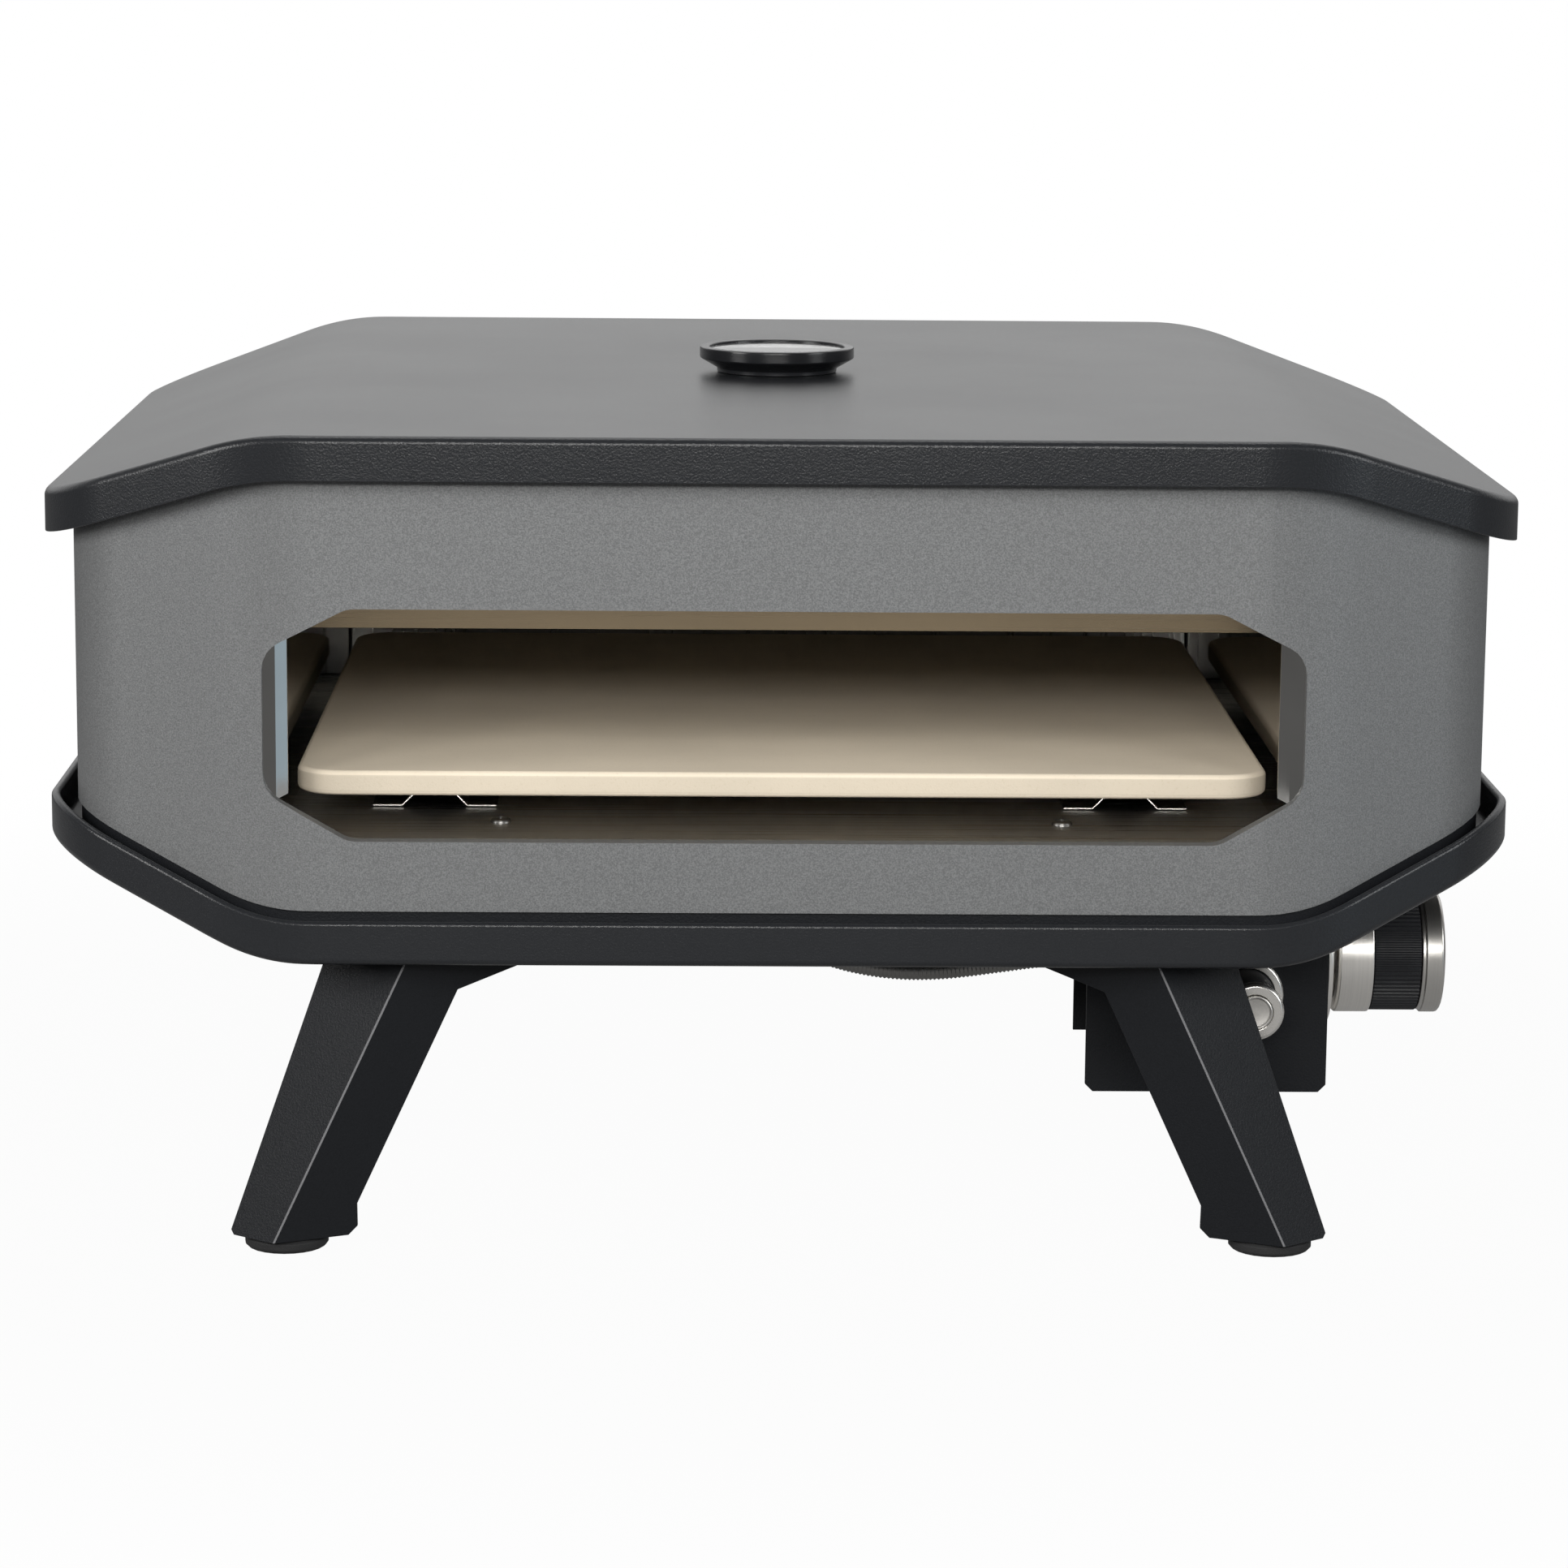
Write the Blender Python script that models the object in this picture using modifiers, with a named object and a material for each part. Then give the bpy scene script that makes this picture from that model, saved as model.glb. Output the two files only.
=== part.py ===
"""Portable gas pizza oven: lid, wrapped body, chamber, baking stone, burner, controls and legs.

Units are metres, +Z is up, the mouth faces -Y and the origin lies on the floor under the centre.
"""

import math

import bmesh
import bpy
from mathutils import Matrix, Vector

# Sheet metal and clearances
SEAT_GAP = 0.0003
OVERRUN = 0.004
MERGE_SPAN = 0.00001
BODY_SHEET = 0.0012
PAN_SHEET = 0.0015
LINER_SHEET = 0.001
LEG_SHEET = 0.0024
BRACKET_SHEET = 0.002

# Plan of the lid, a rounded octagon that the body and the tray follow
LID_HALF_WIDTH = 0.3275
LID_HALF_DEPTH = 0.297
CHAMFER_X = 0.0988
CHAMFER_Y = 0.0609
SIDE_CORNER_RADIUS = 0.065
FRONT_CORNER_RADIUS = 0.100

# Lid
LID_TOP = 0.3662
LID_RIM = 0.0193
LID_WING_RUN = 0.0981
LID_WING_START = LID_HALF_WIDTH - LID_WING_RUN
LID_WING_SLOPE_SHARE = 0.341
LID_WING_RADIUS = 0.121
PAN_EDGE_RADIUS = 0.003

# Tray
TRAY_BOTTOM = 0.1358
TRAY_RIM = 0.0193
TRAY_SETBACK = 0.0044
TRAY_WING_RUN = 0.1008
TRAY_WING_START = LID_HALF_WIDTH - TRAY_WING_RUN
TRAY_WING_SLOPE_SHARE = 0.403
TRAY_WING_RADIUS = 0.095

# Body wall and the frame that carries it
BODY_INSET = 0.0125
BODY_BOTTOM = 0.1582
BODY_SEAM_SETBACK = 0.147
BODY_SEAM = LID_HALF_DEPTH - BODY_SEAM_SETBACK
SEAM_GAP = 0.0005
FRAME_LAP = 0.012

# Mouth
MOUTH_SIDE = 0.102
MOUTH_HALF_WIDTH = LID_HALF_WIDTH - MOUTH_SIDE
MOUTH_BOTTOM = 0.1890
CEILING_DROP = 0.0602
CEILING_Z = LID_TOP - CEILING_DROP
MOUTH_DROP = 0.0155
MOUTH_TOP = CEILING_Z - MOUTH_DROP
MOUTH_CHAMFER_X = 0.037
MOUTH_TOP_CHAMFER_Z = 0.0190
MOUTH_BOTTOM_CHAMFER_Z = 0.0212
MOUTH_CORNER_RADIUS = 0.014
MOUTH_LIP = 0.007

# Chamber liner
FLOOR_TOP = 0.187
WALL_INSET = 0.005
WALL_HALF_WIDTH = MOUTH_HALF_WIDTH - WALL_INSET
FLOOR_LEDGE = 0.003
FLOOR_HALF_WIDTH = WALL_HALF_WIDTH + FLOOR_LEDGE
BACK_AIR_GAP = 0.0345
CHAMBER_BACK = LID_HALF_DEPTH - BODY_INSET - BACK_AIR_GAP
BAFFLE_DROP = 0.0272
BAFFLE_LOW_Z = CEILING_Z - BAFFLE_DROP
BAFFLE_RUN = 0.022
BAFFLE_FOLD = 0.006
BAFFLE_RISE = 0.023
FLANGE_LAP = 0.0045
FLANGE_FOLD = 0.0053
FLANGE_OUTER = MOUTH_HALF_WIDTH + FLANGE_LAP
FLANGE_BEND = WALL_HALF_WIDTH
FLANGE_EDGE = FLANGE_BEND - FLANGE_FOLD
FLANGE_STEP = 0.004
FLANGE_RETURN = 0.007
FLANGE_BOTTOM = 0.205
FLANGE_CORNER_RADIUS = 0.010
REAR_FLANGE = 0.012

# Flame guard
GUARD_BACK_GAP = 0.066
GUARD_Y = CHAMBER_BACK - GUARD_BACK_GAP
GUARD_DROP = 0.044
GUARD_TOP = CEILING_Z - GUARD_DROP
GUARD_FOLD = 0.012
GUARD_SLOTS = 18
GUARD_SLOT_WIDTH = 0.012
GUARD_SLOT_HEIGHT = 0.006
GUARD_SLOT_PITCH = 0.022
GUARD_SLOT_Z = 0.236

# Stone and its rests
STONE_SIDE_GAP = 0.0012
STONE_HALF_WIDTH = FLANGE_EDGE - STONE_SIDE_GAP
STONE_SETBACK = 0.042
STONE_FRONT = STONE_SETBACK - LID_HALF_DEPTH
STONE_BACK_GAP = 0.031
STONE_BACK = GUARD_Y - STONE_BACK_GAP
STONE_THICKNESS = 0.011
STONE_CORNER_RADIUS = 0.017
STONE_EDGE_RADIUS = 0.0022
REST_SIDE_GAP = 0.058
REST_X = STONE_HALF_WIDTH - REST_SIDE_GAP
REST_HEIGHT = 0.0157
REST_FLANGE = 0.0135
REST_BASE = 0.029
REST_SETBACK = 0.063
REST_FRONT = STONE_FRONT + REST_SETBACK
REST_BACK_GAP = 0.012
REST_BACK = STONE_BACK - REST_BACK_GAP

# Burner
BURNER_BACK_GAP = 0.032
BURNER_Y = CHAMBER_BACK - BURNER_BACK_GAP
BURNER_Z = 0.214
BURNER_RADIUS = 0.012
BURNER_WALL = 0.0014
BURNER_SIDE_GAP = 0.0305
BURNER_HALF_LENGTH = WALL_HALF_WIDTH - BURNER_SIDE_GAP
BURNER_PORTS = 18
BURNER_PORT_PITCH = 0.0195
BURNER_PORT_LENGTH = 0.008
BURNER_PORT_WIDTH = 0.0016
BURNER_PORT_TILT = math.radians(-25)
BURNER_FOOT_INSET = 0.025
BURNER_FOOT_X = BURNER_HALF_LENGTH - BURNER_FOOT_INSET
BURNER_FOOT_WIDTH = 0.014
BURNER_FOOT_LENGTH = 0.040
MIXER_RADIUS = 0.011
MIXER_BORE = 0.0095
MIXER_DROP = 0.113
MIXER_BEND = 0.026
MIXER_RUN = 0.040
SHUTTER_LENGTH = 0.016
SHUTTER_WALL = 0.0012
JET_RADIUS = 0.0055
JET_LENGTH = 0.024
JET_CARRIER = 0.005
JET_CARRIER_RADIUS = 0.0125

# Electrode and flame sensor
PROBE_INSET = 0.070
ELECTRODE_X = BURNER_HALF_LENGTH - PROBE_INSET
SENSOR_X = -ELECTRODE_X
PROBE_STANDOFF = 0.022
CERAMIC_RADIUS = 0.0035
CERAMIC_LENGTH = 0.036
PROBE_WIRE_RADIUS = 0.0011
PROBE_WIRE_LENGTH = 0.016
PROBE_CLIP_WIDTH = 0.014
PROBE_CLIP_HEIGHT = 0.002

# Control bracket
BRACKET_SIDE = 0.075
BRACKET_RIGHT = LID_HALF_WIDTH - BRACKET_SIDE
BRACKET_WIDTH = 0.111
BRACKET_LEFT = BRACKET_RIGHT - BRACKET_WIDTH
BRACKET_SETBACK = 0.119
BRACKET_FRONT = BRACKET_SETBACK - LID_HALF_DEPTH
BRACKET_DEPTH = 0.076
BRACKET_BACK = BRACKET_FRONT + BRACKET_DEPTH
BRACKET_BOTTOM = 0.0527
BRACKET_BACK_RISE = 0.0115
BRACKET_CHAMFER = 0.0035
BRACKET_FLANGE = 0.014

# Gas valve, spindle and knob, all about one axis along X
VALVE_SETBACK = 0.038
VALVE_Y = BRACKET_FRONT + VALVE_SETBACK
VALVE_Z = 0.111
VALVE_BODY_LENGTH = 0.046
VALVE_BODY_WIDTH = 0.026
VALVE_BODY_HEIGHT = 0.030
VALVE_NECK_RADIUS = 0.009
SPINDLE_RADIUS = 0.004
SPINDLE_HOLE_RADIUS = 0.0095
ESCUTCHEON_RADIUS = 0.0344
ESCUTCHEON_HEIGHT = 0.0028
ESCUTCHEON_BORE = 0.014
KNOB_RADIUS = 0.0281
KNOB_STANDOFF = 0.0058
KNOB_START = BRACKET_RIGHT + KNOB_STANDOFF
KNOB_BASE_LENGTH = 0.0169
KNOB_GRIP_LENGTH = 0.0222
KNOB_STEP_LENGTH = 0.0018
KNOB_CAP_LENGTH = 0.0086
KNOB_GRIP_RADIUS = 0.0272
KNOB_BORE = 0.022
KNOB_HUB_RADIUS = 0.009
KNOB_RIBS = 40
KNOB_RIB_DEPTH = 0.0005
KNOB_EDGE_RADIUS = 0.0012

# Igniter, about one axis along -Y
IGNITER_INSET = 0.038
IGNITER_X = BRACKET_RIGHT - IGNITER_INSET
IGNITER_Z = 0.0995
IGNITER_BASE_RADIUS = 0.017
IGNITER_BASE_LENGTH = 0.006
IGNITER_BARREL_RADIUS = 0.0125
IGNITER_BARREL_LENGTH = 0.028
IGNITER_BEZEL_RADIUS = 0.0132
IGNITER_BEZEL_LENGTH = 0.0055
IGNITER_BUTTON_RADIUS = 0.0078
IGNITER_BUTTON_LENGTH = 0.012
IGNITER_BUTTON_PROUD = 0.0012
IGNITER_TRAVEL = 0.003
IGNITER_BODY_RADIUS = 0.0105
IGNITER_BODY_LENGTH = 0.021
IGNITER_NUT_RADIUS = 0.0155
IGNITER_NUT_LENGTH = 0.004

# Ribbed hose from the valve to the jet, and its two nuts
HOSE_RADIUS = 0.0048
HOSE_ROOT_RADIUS = 0.0040
HOSE_BORE_RADIUS = 0.0028
HOSE_RIB_PITCH = 0.0034
HOSE_ROUTE_SHARES = ((0.63, 0.0), (0.340, 0.0076), (0.095, 0.053), (0.0, 0.189), (-0.031, 0.454),
                     (-0.016, 0.719))
HOSE_DROPS = (0.0285, 0.0367, 0.0305, 0.0225, 0.0195, 0.0385)
NUT_RADIUS = 0.0078
NUT_LENGTH = 0.013
INLET_RADIUS = 0.0065
INLET_LENGTH = 0.034
INLET_BORE = 0.004
INLET_HEX_RADIUS = 0.0095
INLET_HEX_LENGTH = 0.009

# Thermometer in the lid
GAUGE_BASE_RADIUS = 0.0295
GAUGE_BEZEL_RADIUS = 0.0373
GAUGE_BASE_HEIGHT = 0.0035
GAUGE_TAPER_HEIGHT = 0.004
GAUGE_BEZEL_HEIGHT = 0.0047
GAUGE_RIM_WIDTH = 0.0045
GAUGE_FLOOR = 0.0016
GAUGE_DIAL_HEIGHT = 0.0008
GAUGE_NEEDLE_LENGTH = 0.024
GAUGE_NEEDLE_TAIL = 0.007
GAUGE_NEEDLE_WIDTH = 0.0018
GAUGE_NEEDLE_HEIGHT = 0.0006
GAUGE_NEEDLE_REST = math.radians(-135)
GAUGE_GLASS_HEIGHT = 0.0015
GAUGE_GLASS_SEAT = 0.0012
GAUGE_HUB_RADIUS = 0.0022
GAUGE_PROBE_RADIUS = 0.003
GAUGE_PROBE_LENGTH = 0.072
GAUGE_THREAD_RADIUS = 0.0055
GAUGE_THREAD_LENGTH = 0.010
GAUGE_NUT_RADIUS = 0.010
GAUGE_NUT_LENGTH = 0.004

# Legs, given for the front left one; the others mirror it
LEG_FOOT_Z = 0.0062
LEG_SETBACK = 0.022
LEG_RIDGE_Y = LEG_SETBACK - LID_HALF_DEPTH
LEG_SIDE = 0.104
LEG_RIDGE_FOOT_X = LID_HALF_WIDTH - LEG_SIDE
LEG_RIDGE_LEAN = 0.462
LEG_OUTER_RUN = 0.0208
LEG_OUTER_FOOT_X = LEG_RIDGE_FOOT_X + LEG_OUTER_RUN
LEG_OUTER_LEAN = 0.345
LEG_TOE_RUN = 0.036
LEG_INNER_FOOT_X = LEG_RIDGE_FOOT_X - LEG_TOE_RUN
LEG_TOE_Z = 0.0209
LEG_TOE_CUT = 0.004
LEG_HEEL_CUT = 0.002
LEG_KNEE_RUN = 0.081
LEG_KNEE_X = LEG_RIDGE_FOOT_X - LEG_KNEE_RUN
LEG_KNEE_Z = 0.1185
LEG_GUSSET_RUN = 0.1315
LEG_GUSSET_X = LEG_RIDGE_FOOT_X - LEG_GUSSET_RUN
LEG_OUTER_ANGLE = math.radians(38)
LEG_INNER_ANGLE = math.radians(25)
LEG_TAB_DEPTH = 0.034
FOOT_INSET = 0.0041
FOOT_X = LEG_RIDGE_FOOT_X - FOOT_INSET
FOOT_SETBACK = 0.0225
FOOT_Y = LEG_RIDGE_Y + FOOT_SETBACK
FOOT_RADIUS = 0.0186
FOOT_TOP_RADIUS = 0.0172
FOOT_ROUND = 0.0015
FOOT_PLUG_RADIUS = 0.005
FOOT_PLUG_LENGTH = 0.003

# Facet counts
CORNER_STEPS = 6
BEND_STEPS = 5
ROUND_STEPS = 32
MEDIUM_ROUND_STEPS = 24
SMALL_ROUND_STEPS = 16
KNOB_ROUND_STEPS = 36
GAUGE_ROUND_STEPS = 40
HOSE_BORE_STRIDE = 4

COLLECTION_NAME = "portable_pizza_oven"
CUTTER_COLLECTION_NAME = "cutters"


def clear_scene():
    for thing in list(bpy.data.objects):
        bpy.data.objects.remove(thing, do_unlink=True)


def make_collections():
    for name in (COLLECTION_NAME, CUTTER_COLLECTION_NAME):
        collection = bpy.data.collections.new(name)
        bpy.context.scene.collection.children.link(collection)


def material(name, colour, roughness, metallic):
    """A Principled material, made once for each name."""
    found = bpy.data.materials.get(name)
    if found:
        return found
    made = bpy.data.materials.new(name)
    made.use_nodes = True
    shader = made.node_tree.nodes["Principled BSDF"]
    shader.inputs["Base Color"].default_value = (*colour, 1.0)
    shader.inputs["Roughness"].default_value = roughness
    shader.inputs["Metallic"].default_value = metallic
    return made


def own_material(part_name, finish):
    """Each part has its own material, named for the part, in one of the shared finishes."""
    colour, roughness, metallic = FINISHES[finish]
    return material(part_name + "_" + finish, colour, roughness, metallic)


FINISHES = {
    "satin_black": ((0.045, 0.046, 0.049), 0.42, 0.3),
    "grey_sparkle": ((0.215, 0.220, 0.228), 0.48, 0.4),
    "stainless": ((0.52, 0.51, 0.49), 0.22, 1.0),
    "cordierite": ((0.78, 0.68, 0.53), 0.85, 0.0),
    "brushed_nickel": ((0.62, 0.60, 0.57), 0.28, 1.0),
    "black_plastic": ((0.022, 0.022, 0.024), 0.45, 0.0),
    "rubber": ((0.018, 0.018, 0.018), 0.8, 0.0),
    "brass": ((0.58, 0.42, 0.18), 0.35, 1.0),
    "white_dial": ((0.85, 0.85, 0.83), 0.5, 0.0),
    "red_needle": ((0.55, 0.03, 0.02), 0.4, 0.0),
    "clear_glass": ((0.9, 0.92, 0.93), 0.03, 0.0),
    "ceramic": ((0.86, 0.84, 0.80), 0.35, 0.0),
}


def place(part, finish, smooth_angle=None):
    """Names the part's material, links the part and shades its round faces."""
    part.data.materials.clear()
    part.data.materials.append(own_material(part.name, finish))
    if part.name not in bpy.data.collections[COLLECTION_NAME].objects:
        for collection in list(part.users_collection):
            collection.objects.unlink(part)
        bpy.data.collections[COLLECTION_NAME].objects.link(part)
    if smooth_angle is not None:
        part.data.shade_smooth()
        part.data.set_sharp_from_angle(angle=smooth_angle)
    return part


def set_origin(part, point):
    """Moves the part's origin to a point of its joint axis; the part itself stays where it is."""
    part.data.transform(Matrix.Translation(-Vector(point)))
    part.location = point
    return part


def as_cutter(tool):
    for collection in list(tool.users_collection):
        collection.objects.unlink(tool)
    bpy.data.collections[CUTTER_COLLECTION_NAME].objects.link(tool)
    tool.hide_render = True
    tool.display_type = "WIRE"
    return tool


def mesh_object(name, mesh):
    thing = bpy.data.objects.new(name, mesh)
    bpy.context.scene.collection.objects.link(thing)
    return thing


def boolean(target, tool, operation):
    modifier = target.modifiers.new(operation.lower() + "_" + tool.name, "BOOLEAN")
    modifier.operation = operation
    modifier.object = as_cutter(tool)
    return target


def settle(thing):
    """Turns a curve or a part with modifiers into a plain welded mesh of the same name."""
    name = thing.name
    graph = bpy.context.evaluated_depsgraph_get()
    mesh = bpy.data.meshes.new_from_object(thing.evaluated_get(graph))
    matrix = thing.matrix_world.copy()
    tools = [m.object for m in thing.modifiers if m.type == "BOOLEAN"]
    bpy.data.objects.remove(thing, do_unlink=True)
    for tool in tools:
        if tool and tool.users_collection:
            bpy.data.objects.remove(tool, do_unlink=True)
    shell = bmesh.new()
    shell.from_mesh(mesh)
    bmesh.ops.remove_doubles(shell, verts=shell.verts, dist=MERGE_SPAN)
    bmesh.ops.recalc_face_normals(shell, faces=shell.faces)
    shell.to_mesh(mesh)
    shell.free()
    made = mesh_object(name, mesh)
    made.matrix_world = matrix
    return made


def rounded(corners, radii, closed=True, steps=CORNER_STEPS):
    """The corner points with each corner turned into an arc of its radius; radius 0 keeps it sharp."""
    points = []
    count = len(corners)
    for index, corner in enumerate(corners):
        corner = Vector(corner)
        radius = radii[index]
        at_end = not closed and index in (0, count - 1)
        if at_end or radius == 0:
            points.append(corner)
            continue
        back = (Vector(corners[index - 1]) - corner).normalized()
        ahead = (Vector(corners[(index + 1) % count]) - corner).normalized()
        half_angle = back.angle(ahead) / 2
        centre = corner + (back + ahead).normalized() * (radius / math.sin(half_angle))
        start = corner + back * (radius / math.tan(half_angle)) - centre
        finish = corner + ahead * (radius / math.tan(half_angle)) - centre
        turn = math.atan2(start.x * finish.y - start.y * finish.x, start.dot(finish))
        for step in range(steps + 1):
            spoke = start.copy()
            spoke.rotate(Matrix.Rotation(turn * step / steps, 2))
            points.append(centre + spoke)
    return points


def octagon_quarter(half_width, half_depth, inset):
    """Where the chamfer of the plan, moved in by the inset, meets the side and the front."""
    length = math.hypot(CHAMFER_X, CHAMFER_Y)
    across = CHAMFER_Y / length
    along = CHAMFER_X / length
    reach = half_width * across + (half_depth - CHAMFER_Y) * along - inset
    side = half_width - inset
    front = half_depth - inset
    return side, front, (reach - along * front) / across, (reach - across * side) / along


def octagon_outline(half_width, half_depth, inset=0.0):
    side, front, front_x, side_y = octagon_quarter(half_width, half_depth, inset)
    corners = [(-side, -side_y), (-front_x, -front), (front_x, -front), (side, -side_y),
               (side, side_y), (front_x, front), (-front_x, front), (-side, side_y)]
    radii = [SIDE_CORNER_RADIUS, FRONT_CORNER_RADIUS] * 2
    radii = (radii[:2] + radii[1::-1]) * 2
    return rounded(corners, [radius - inset for radius in radii])


def wing_height(x, start, slope_share, radius):
    """How far the wing has left the flat middle at x: an arc, then a straight slope."""
    angle = math.atan(slope_share)
    tangent = radius * math.tan(angle / 2)
    first = start - tangent
    last = start + tangent * math.cos(angle)
    x = abs(x)
    if x <= first:
        return 0.0
    if x >= last:
        return slope_share * (x - start)
    return radius - math.sqrt(radius * radius - (x - first) ** 2)


def wing_breaks(start, slope_share, radius):
    """The places across the width where the bent sheet has its facet lines."""
    angle = math.atan(slope_share)
    first = start - radius * math.tan(angle / 2)
    places = [first + radius * math.sin(angle * step / BEND_STEPS) for step in range(BEND_STEPS + 1)]
    return [-place_x for place_x in reversed(places)] + places


def lid_wing(x):
    return wing_height(x, LID_WING_START, LID_WING_SLOPE_SHARE, LID_WING_RADIUS)


def tray_wing(x):
    return wing_height(x, TRAY_WING_START, TRAY_WING_SLOPE_SHARE, TRAY_WING_RADIUS)


def outline_solid(name, outline, low, high):
    """A flat outline in XY as a filled 2D curve, thickened from low to high along Z."""
    curve = bpy.data.curves.new(name, "CURVE")
    curve.dimensions = "2D"
    curve.fill_mode = "BOTH"
    curve.extrude = (high - low) / 2
    spline = curve.splines.new("POLY")
    spline.points.add(len(outline) - 1)
    for point, place_xy in zip(spline.points, outline):
        point.co = (place_xy[0], place_xy[1], 0, 1)
    spline.use_cyclic_u = True
    thing = mesh_object(name, curve)
    solid = settle(thing)
    solid.data.transform(Matrix.Translation((0, 0, (low + high) / 2)))
    return solid


XZ_PLANE = Matrix(((1, 0, 0, 0), (0, 0, -1, 0), (0, 1, 0, 0), (0, 0, 0, 1)))
YZ_PLANE = Matrix(((0, 0, 1, 0), (1, 0, 0, 0), (0, 1, 0, 0), (0, 0, 0, 1)))


def front_solid(name, outline_xz, front_y, back_y):
    """A flat outline in XZ, thickened from front_y to back_y."""
    solid = outline_solid(name, outline_xz, -back_y, -front_y)
    solid.data.transform(XZ_PLANE)
    return solid


def side_solid(name, outline_yz, low_x, high_x):
    """A flat outline in YZ, thickened along X."""
    solid = outline_solid(name, outline_yz, low_x, high_x)
    solid.data.transform(YZ_PLANE)
    return solid


def box(name, low, high):
    """A cube primitive stretched between two corners."""
    mesh = bpy.data.meshes.new(name)
    shape = bmesh.new()
    bmesh.ops.create_cube(shape, size=1)
    size = Vector(high) - Vector(low)
    middle = (Vector(high) + Vector(low)) / 2
    bmesh.ops.transform(shape, matrix=Matrix.Translation(middle) @ Matrix.Diagonal((*size, 1)),
                        verts=shape.verts)
    shape.to_mesh(mesh)
    shape.free()
    return mesh_object(name, mesh)


ALONG = {
    "Z": Matrix.Identity(4),
    "X": Matrix.Rotation(math.pi / 2, 4, "Y"),
    "-Y": Matrix.Rotation(math.pi / 2, 4, "X"),
    "Y": Matrix.Rotation(-math.pi / 2, 4, "X"),
}


def cylinder(name, start, axis, length, radius, sides=ROUND_STEPS):
    """A cylinder that starts at a point and runs along an axis."""
    mesh = bpy.data.meshes.new(name)
    shape = bmesh.new()
    bmesh.ops.create_cone(shape, cap_ends=True, segments=sides, radius1=radius, radius2=radius,
                          depth=length)
    bmesh.ops.translate(shape, verts=shape.verts, vec=(0, 0, length / 2))
    shape.to_mesh(mesh)
    shape.free()
    mesh.transform(Matrix.Translation(start) @ ALONG[axis])
    return mesh_object(name, mesh)


def turned(name, profile, start, axis, steps=ROUND_STEPS):
    """A profile of (radius, height) points, from the top down its outer side, turned by a Screw."""
    mesh = bpy.data.meshes.new(name)
    points = [(radius, 0, height) for radius, height in profile]
    count = len(points)
    closed = profile[0][0] > 0 and profile[-1][0] > 0
    edges = [(index, index + 1) for index in range(count - 1)]
    if closed:
        edges.append((count - 1, 0))
    mesh.from_pydata(points, edges, [])
    thing = mesh_object(name, mesh)
    screw = thing.modifiers.new("turn", "SCREW")
    screw.axis = "Z"
    screw.steps = steps
    screw.render_steps = steps
    screw.use_merge_vertices = True
    screw.merge_threshold = MERGE_SPAN
    solid = settle(thing)
    solid.data.transform(Matrix.Translation(start) @ ALONG[axis])
    return solid


def hex_nut(name, start, axis, length, radius, bore, finish):
    """A six-sided nut with a round bore."""
    nut = cylinder(name, start, axis, length, radius, 6)
    drill = cylinder(name + "_bore", start, axis, 3 * length, bore, MEDIUM_ROUND_STEPS)
    direction = ALONG[axis] @ Vector((0, 0, 1))
    drill.data.transform(Matrix.Translation(-direction * length))
    boolean(nut, drill, "DIFFERENCE")
    return place(settle(nut), finish)


def tube(name, route, radius, resolution=3, radii=None, capped=True):
    """A round tube along a list of points."""
    curve = bpy.data.curves.new(name, "CURVE")
    curve.dimensions = "3D"
    curve.bevel_depth = radius
    curve.bevel_resolution = resolution
    curve.use_fill_caps = capped
    spline = curve.splines.new("POLY")
    spline.points.add(len(route) - 1)
    for index, place_xyz in enumerate(route):
        spline.points[index].co = (*place_xyz, 1)
        if radii:
            spline.points[index].radius = radii[index] / radius
    return settle(mesh_object(name, curve))


def lined_tube(name, outer, inner):
    """Joins an open tube and the open bore inside it with a ring at both ends."""
    inner.data.flip_normals()
    shell = bmesh.new()
    for piece in (outer, inner):
        shell.from_mesh(piece.data)
        bpy.data.objects.remove(piece, do_unlink=True)
    open_edges = [edge for edge in shell.edges if edge.is_boundary]
    middle = sum((edge.verts[0].co for edge in open_edges), Vector()) / len(open_edges)
    first_end = open_edges[0].verts[0].co
    reach = (middle - first_end).length
    near = [edge for edge in open_edges if (edge.verts[0].co - first_end).length < reach]
    far = [edge for edge in open_edges if edge not in near]
    for end in (near, far):
        bmesh.ops.bridge_loops(shell, edges=end)
    bmesh.ops.recalc_face_normals(shell, faces=shell.faces)
    mesh = bpy.data.meshes.new(name)
    shell.to_mesh(mesh)
    shell.free()
    return mesh_object(name, mesh)


def smooth_route(points, spacing):
    """Evenly spaced points on a smooth curve through the given ones."""
    dense = []
    last = len(points) - 1
    for index in range(last):
        before = Vector(points[max(index - 1, 0)])
        first = Vector(points[index])
        second = Vector(points[index + 1])
        after = Vector(points[min(index + 2, last)])
        for step in range(24):
            t = step / 24
            dense.append(0.5 * (2 * first + (second - before) * t
                                + (2 * before - 5 * first + 4 * second - after) * t * t
                                + (3 * first - before - 3 * second + after) * t ** 3))
    dense.append(Vector(points[last]))
    lengths = [0.0]
    for first, second in zip(dense, dense[1:]):
        lengths.append(lengths[-1] + (second - first).length)
    count = max(2, round(lengths[-1] / spacing))
    route = []
    cursor = 0
    for index in range(count + 1):
        target = lengths[-1] * index / count
        while cursor < len(lengths) - 2 and lengths[cursor + 1] < target:
            cursor += 1
        span = lengths[cursor + 1] - lengths[cursor]
        share = (target - lengths[cursor]) / span
        route.append(dense[cursor].lerp(dense[cursor + 1], min(share, 1.0)))
    return route


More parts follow.
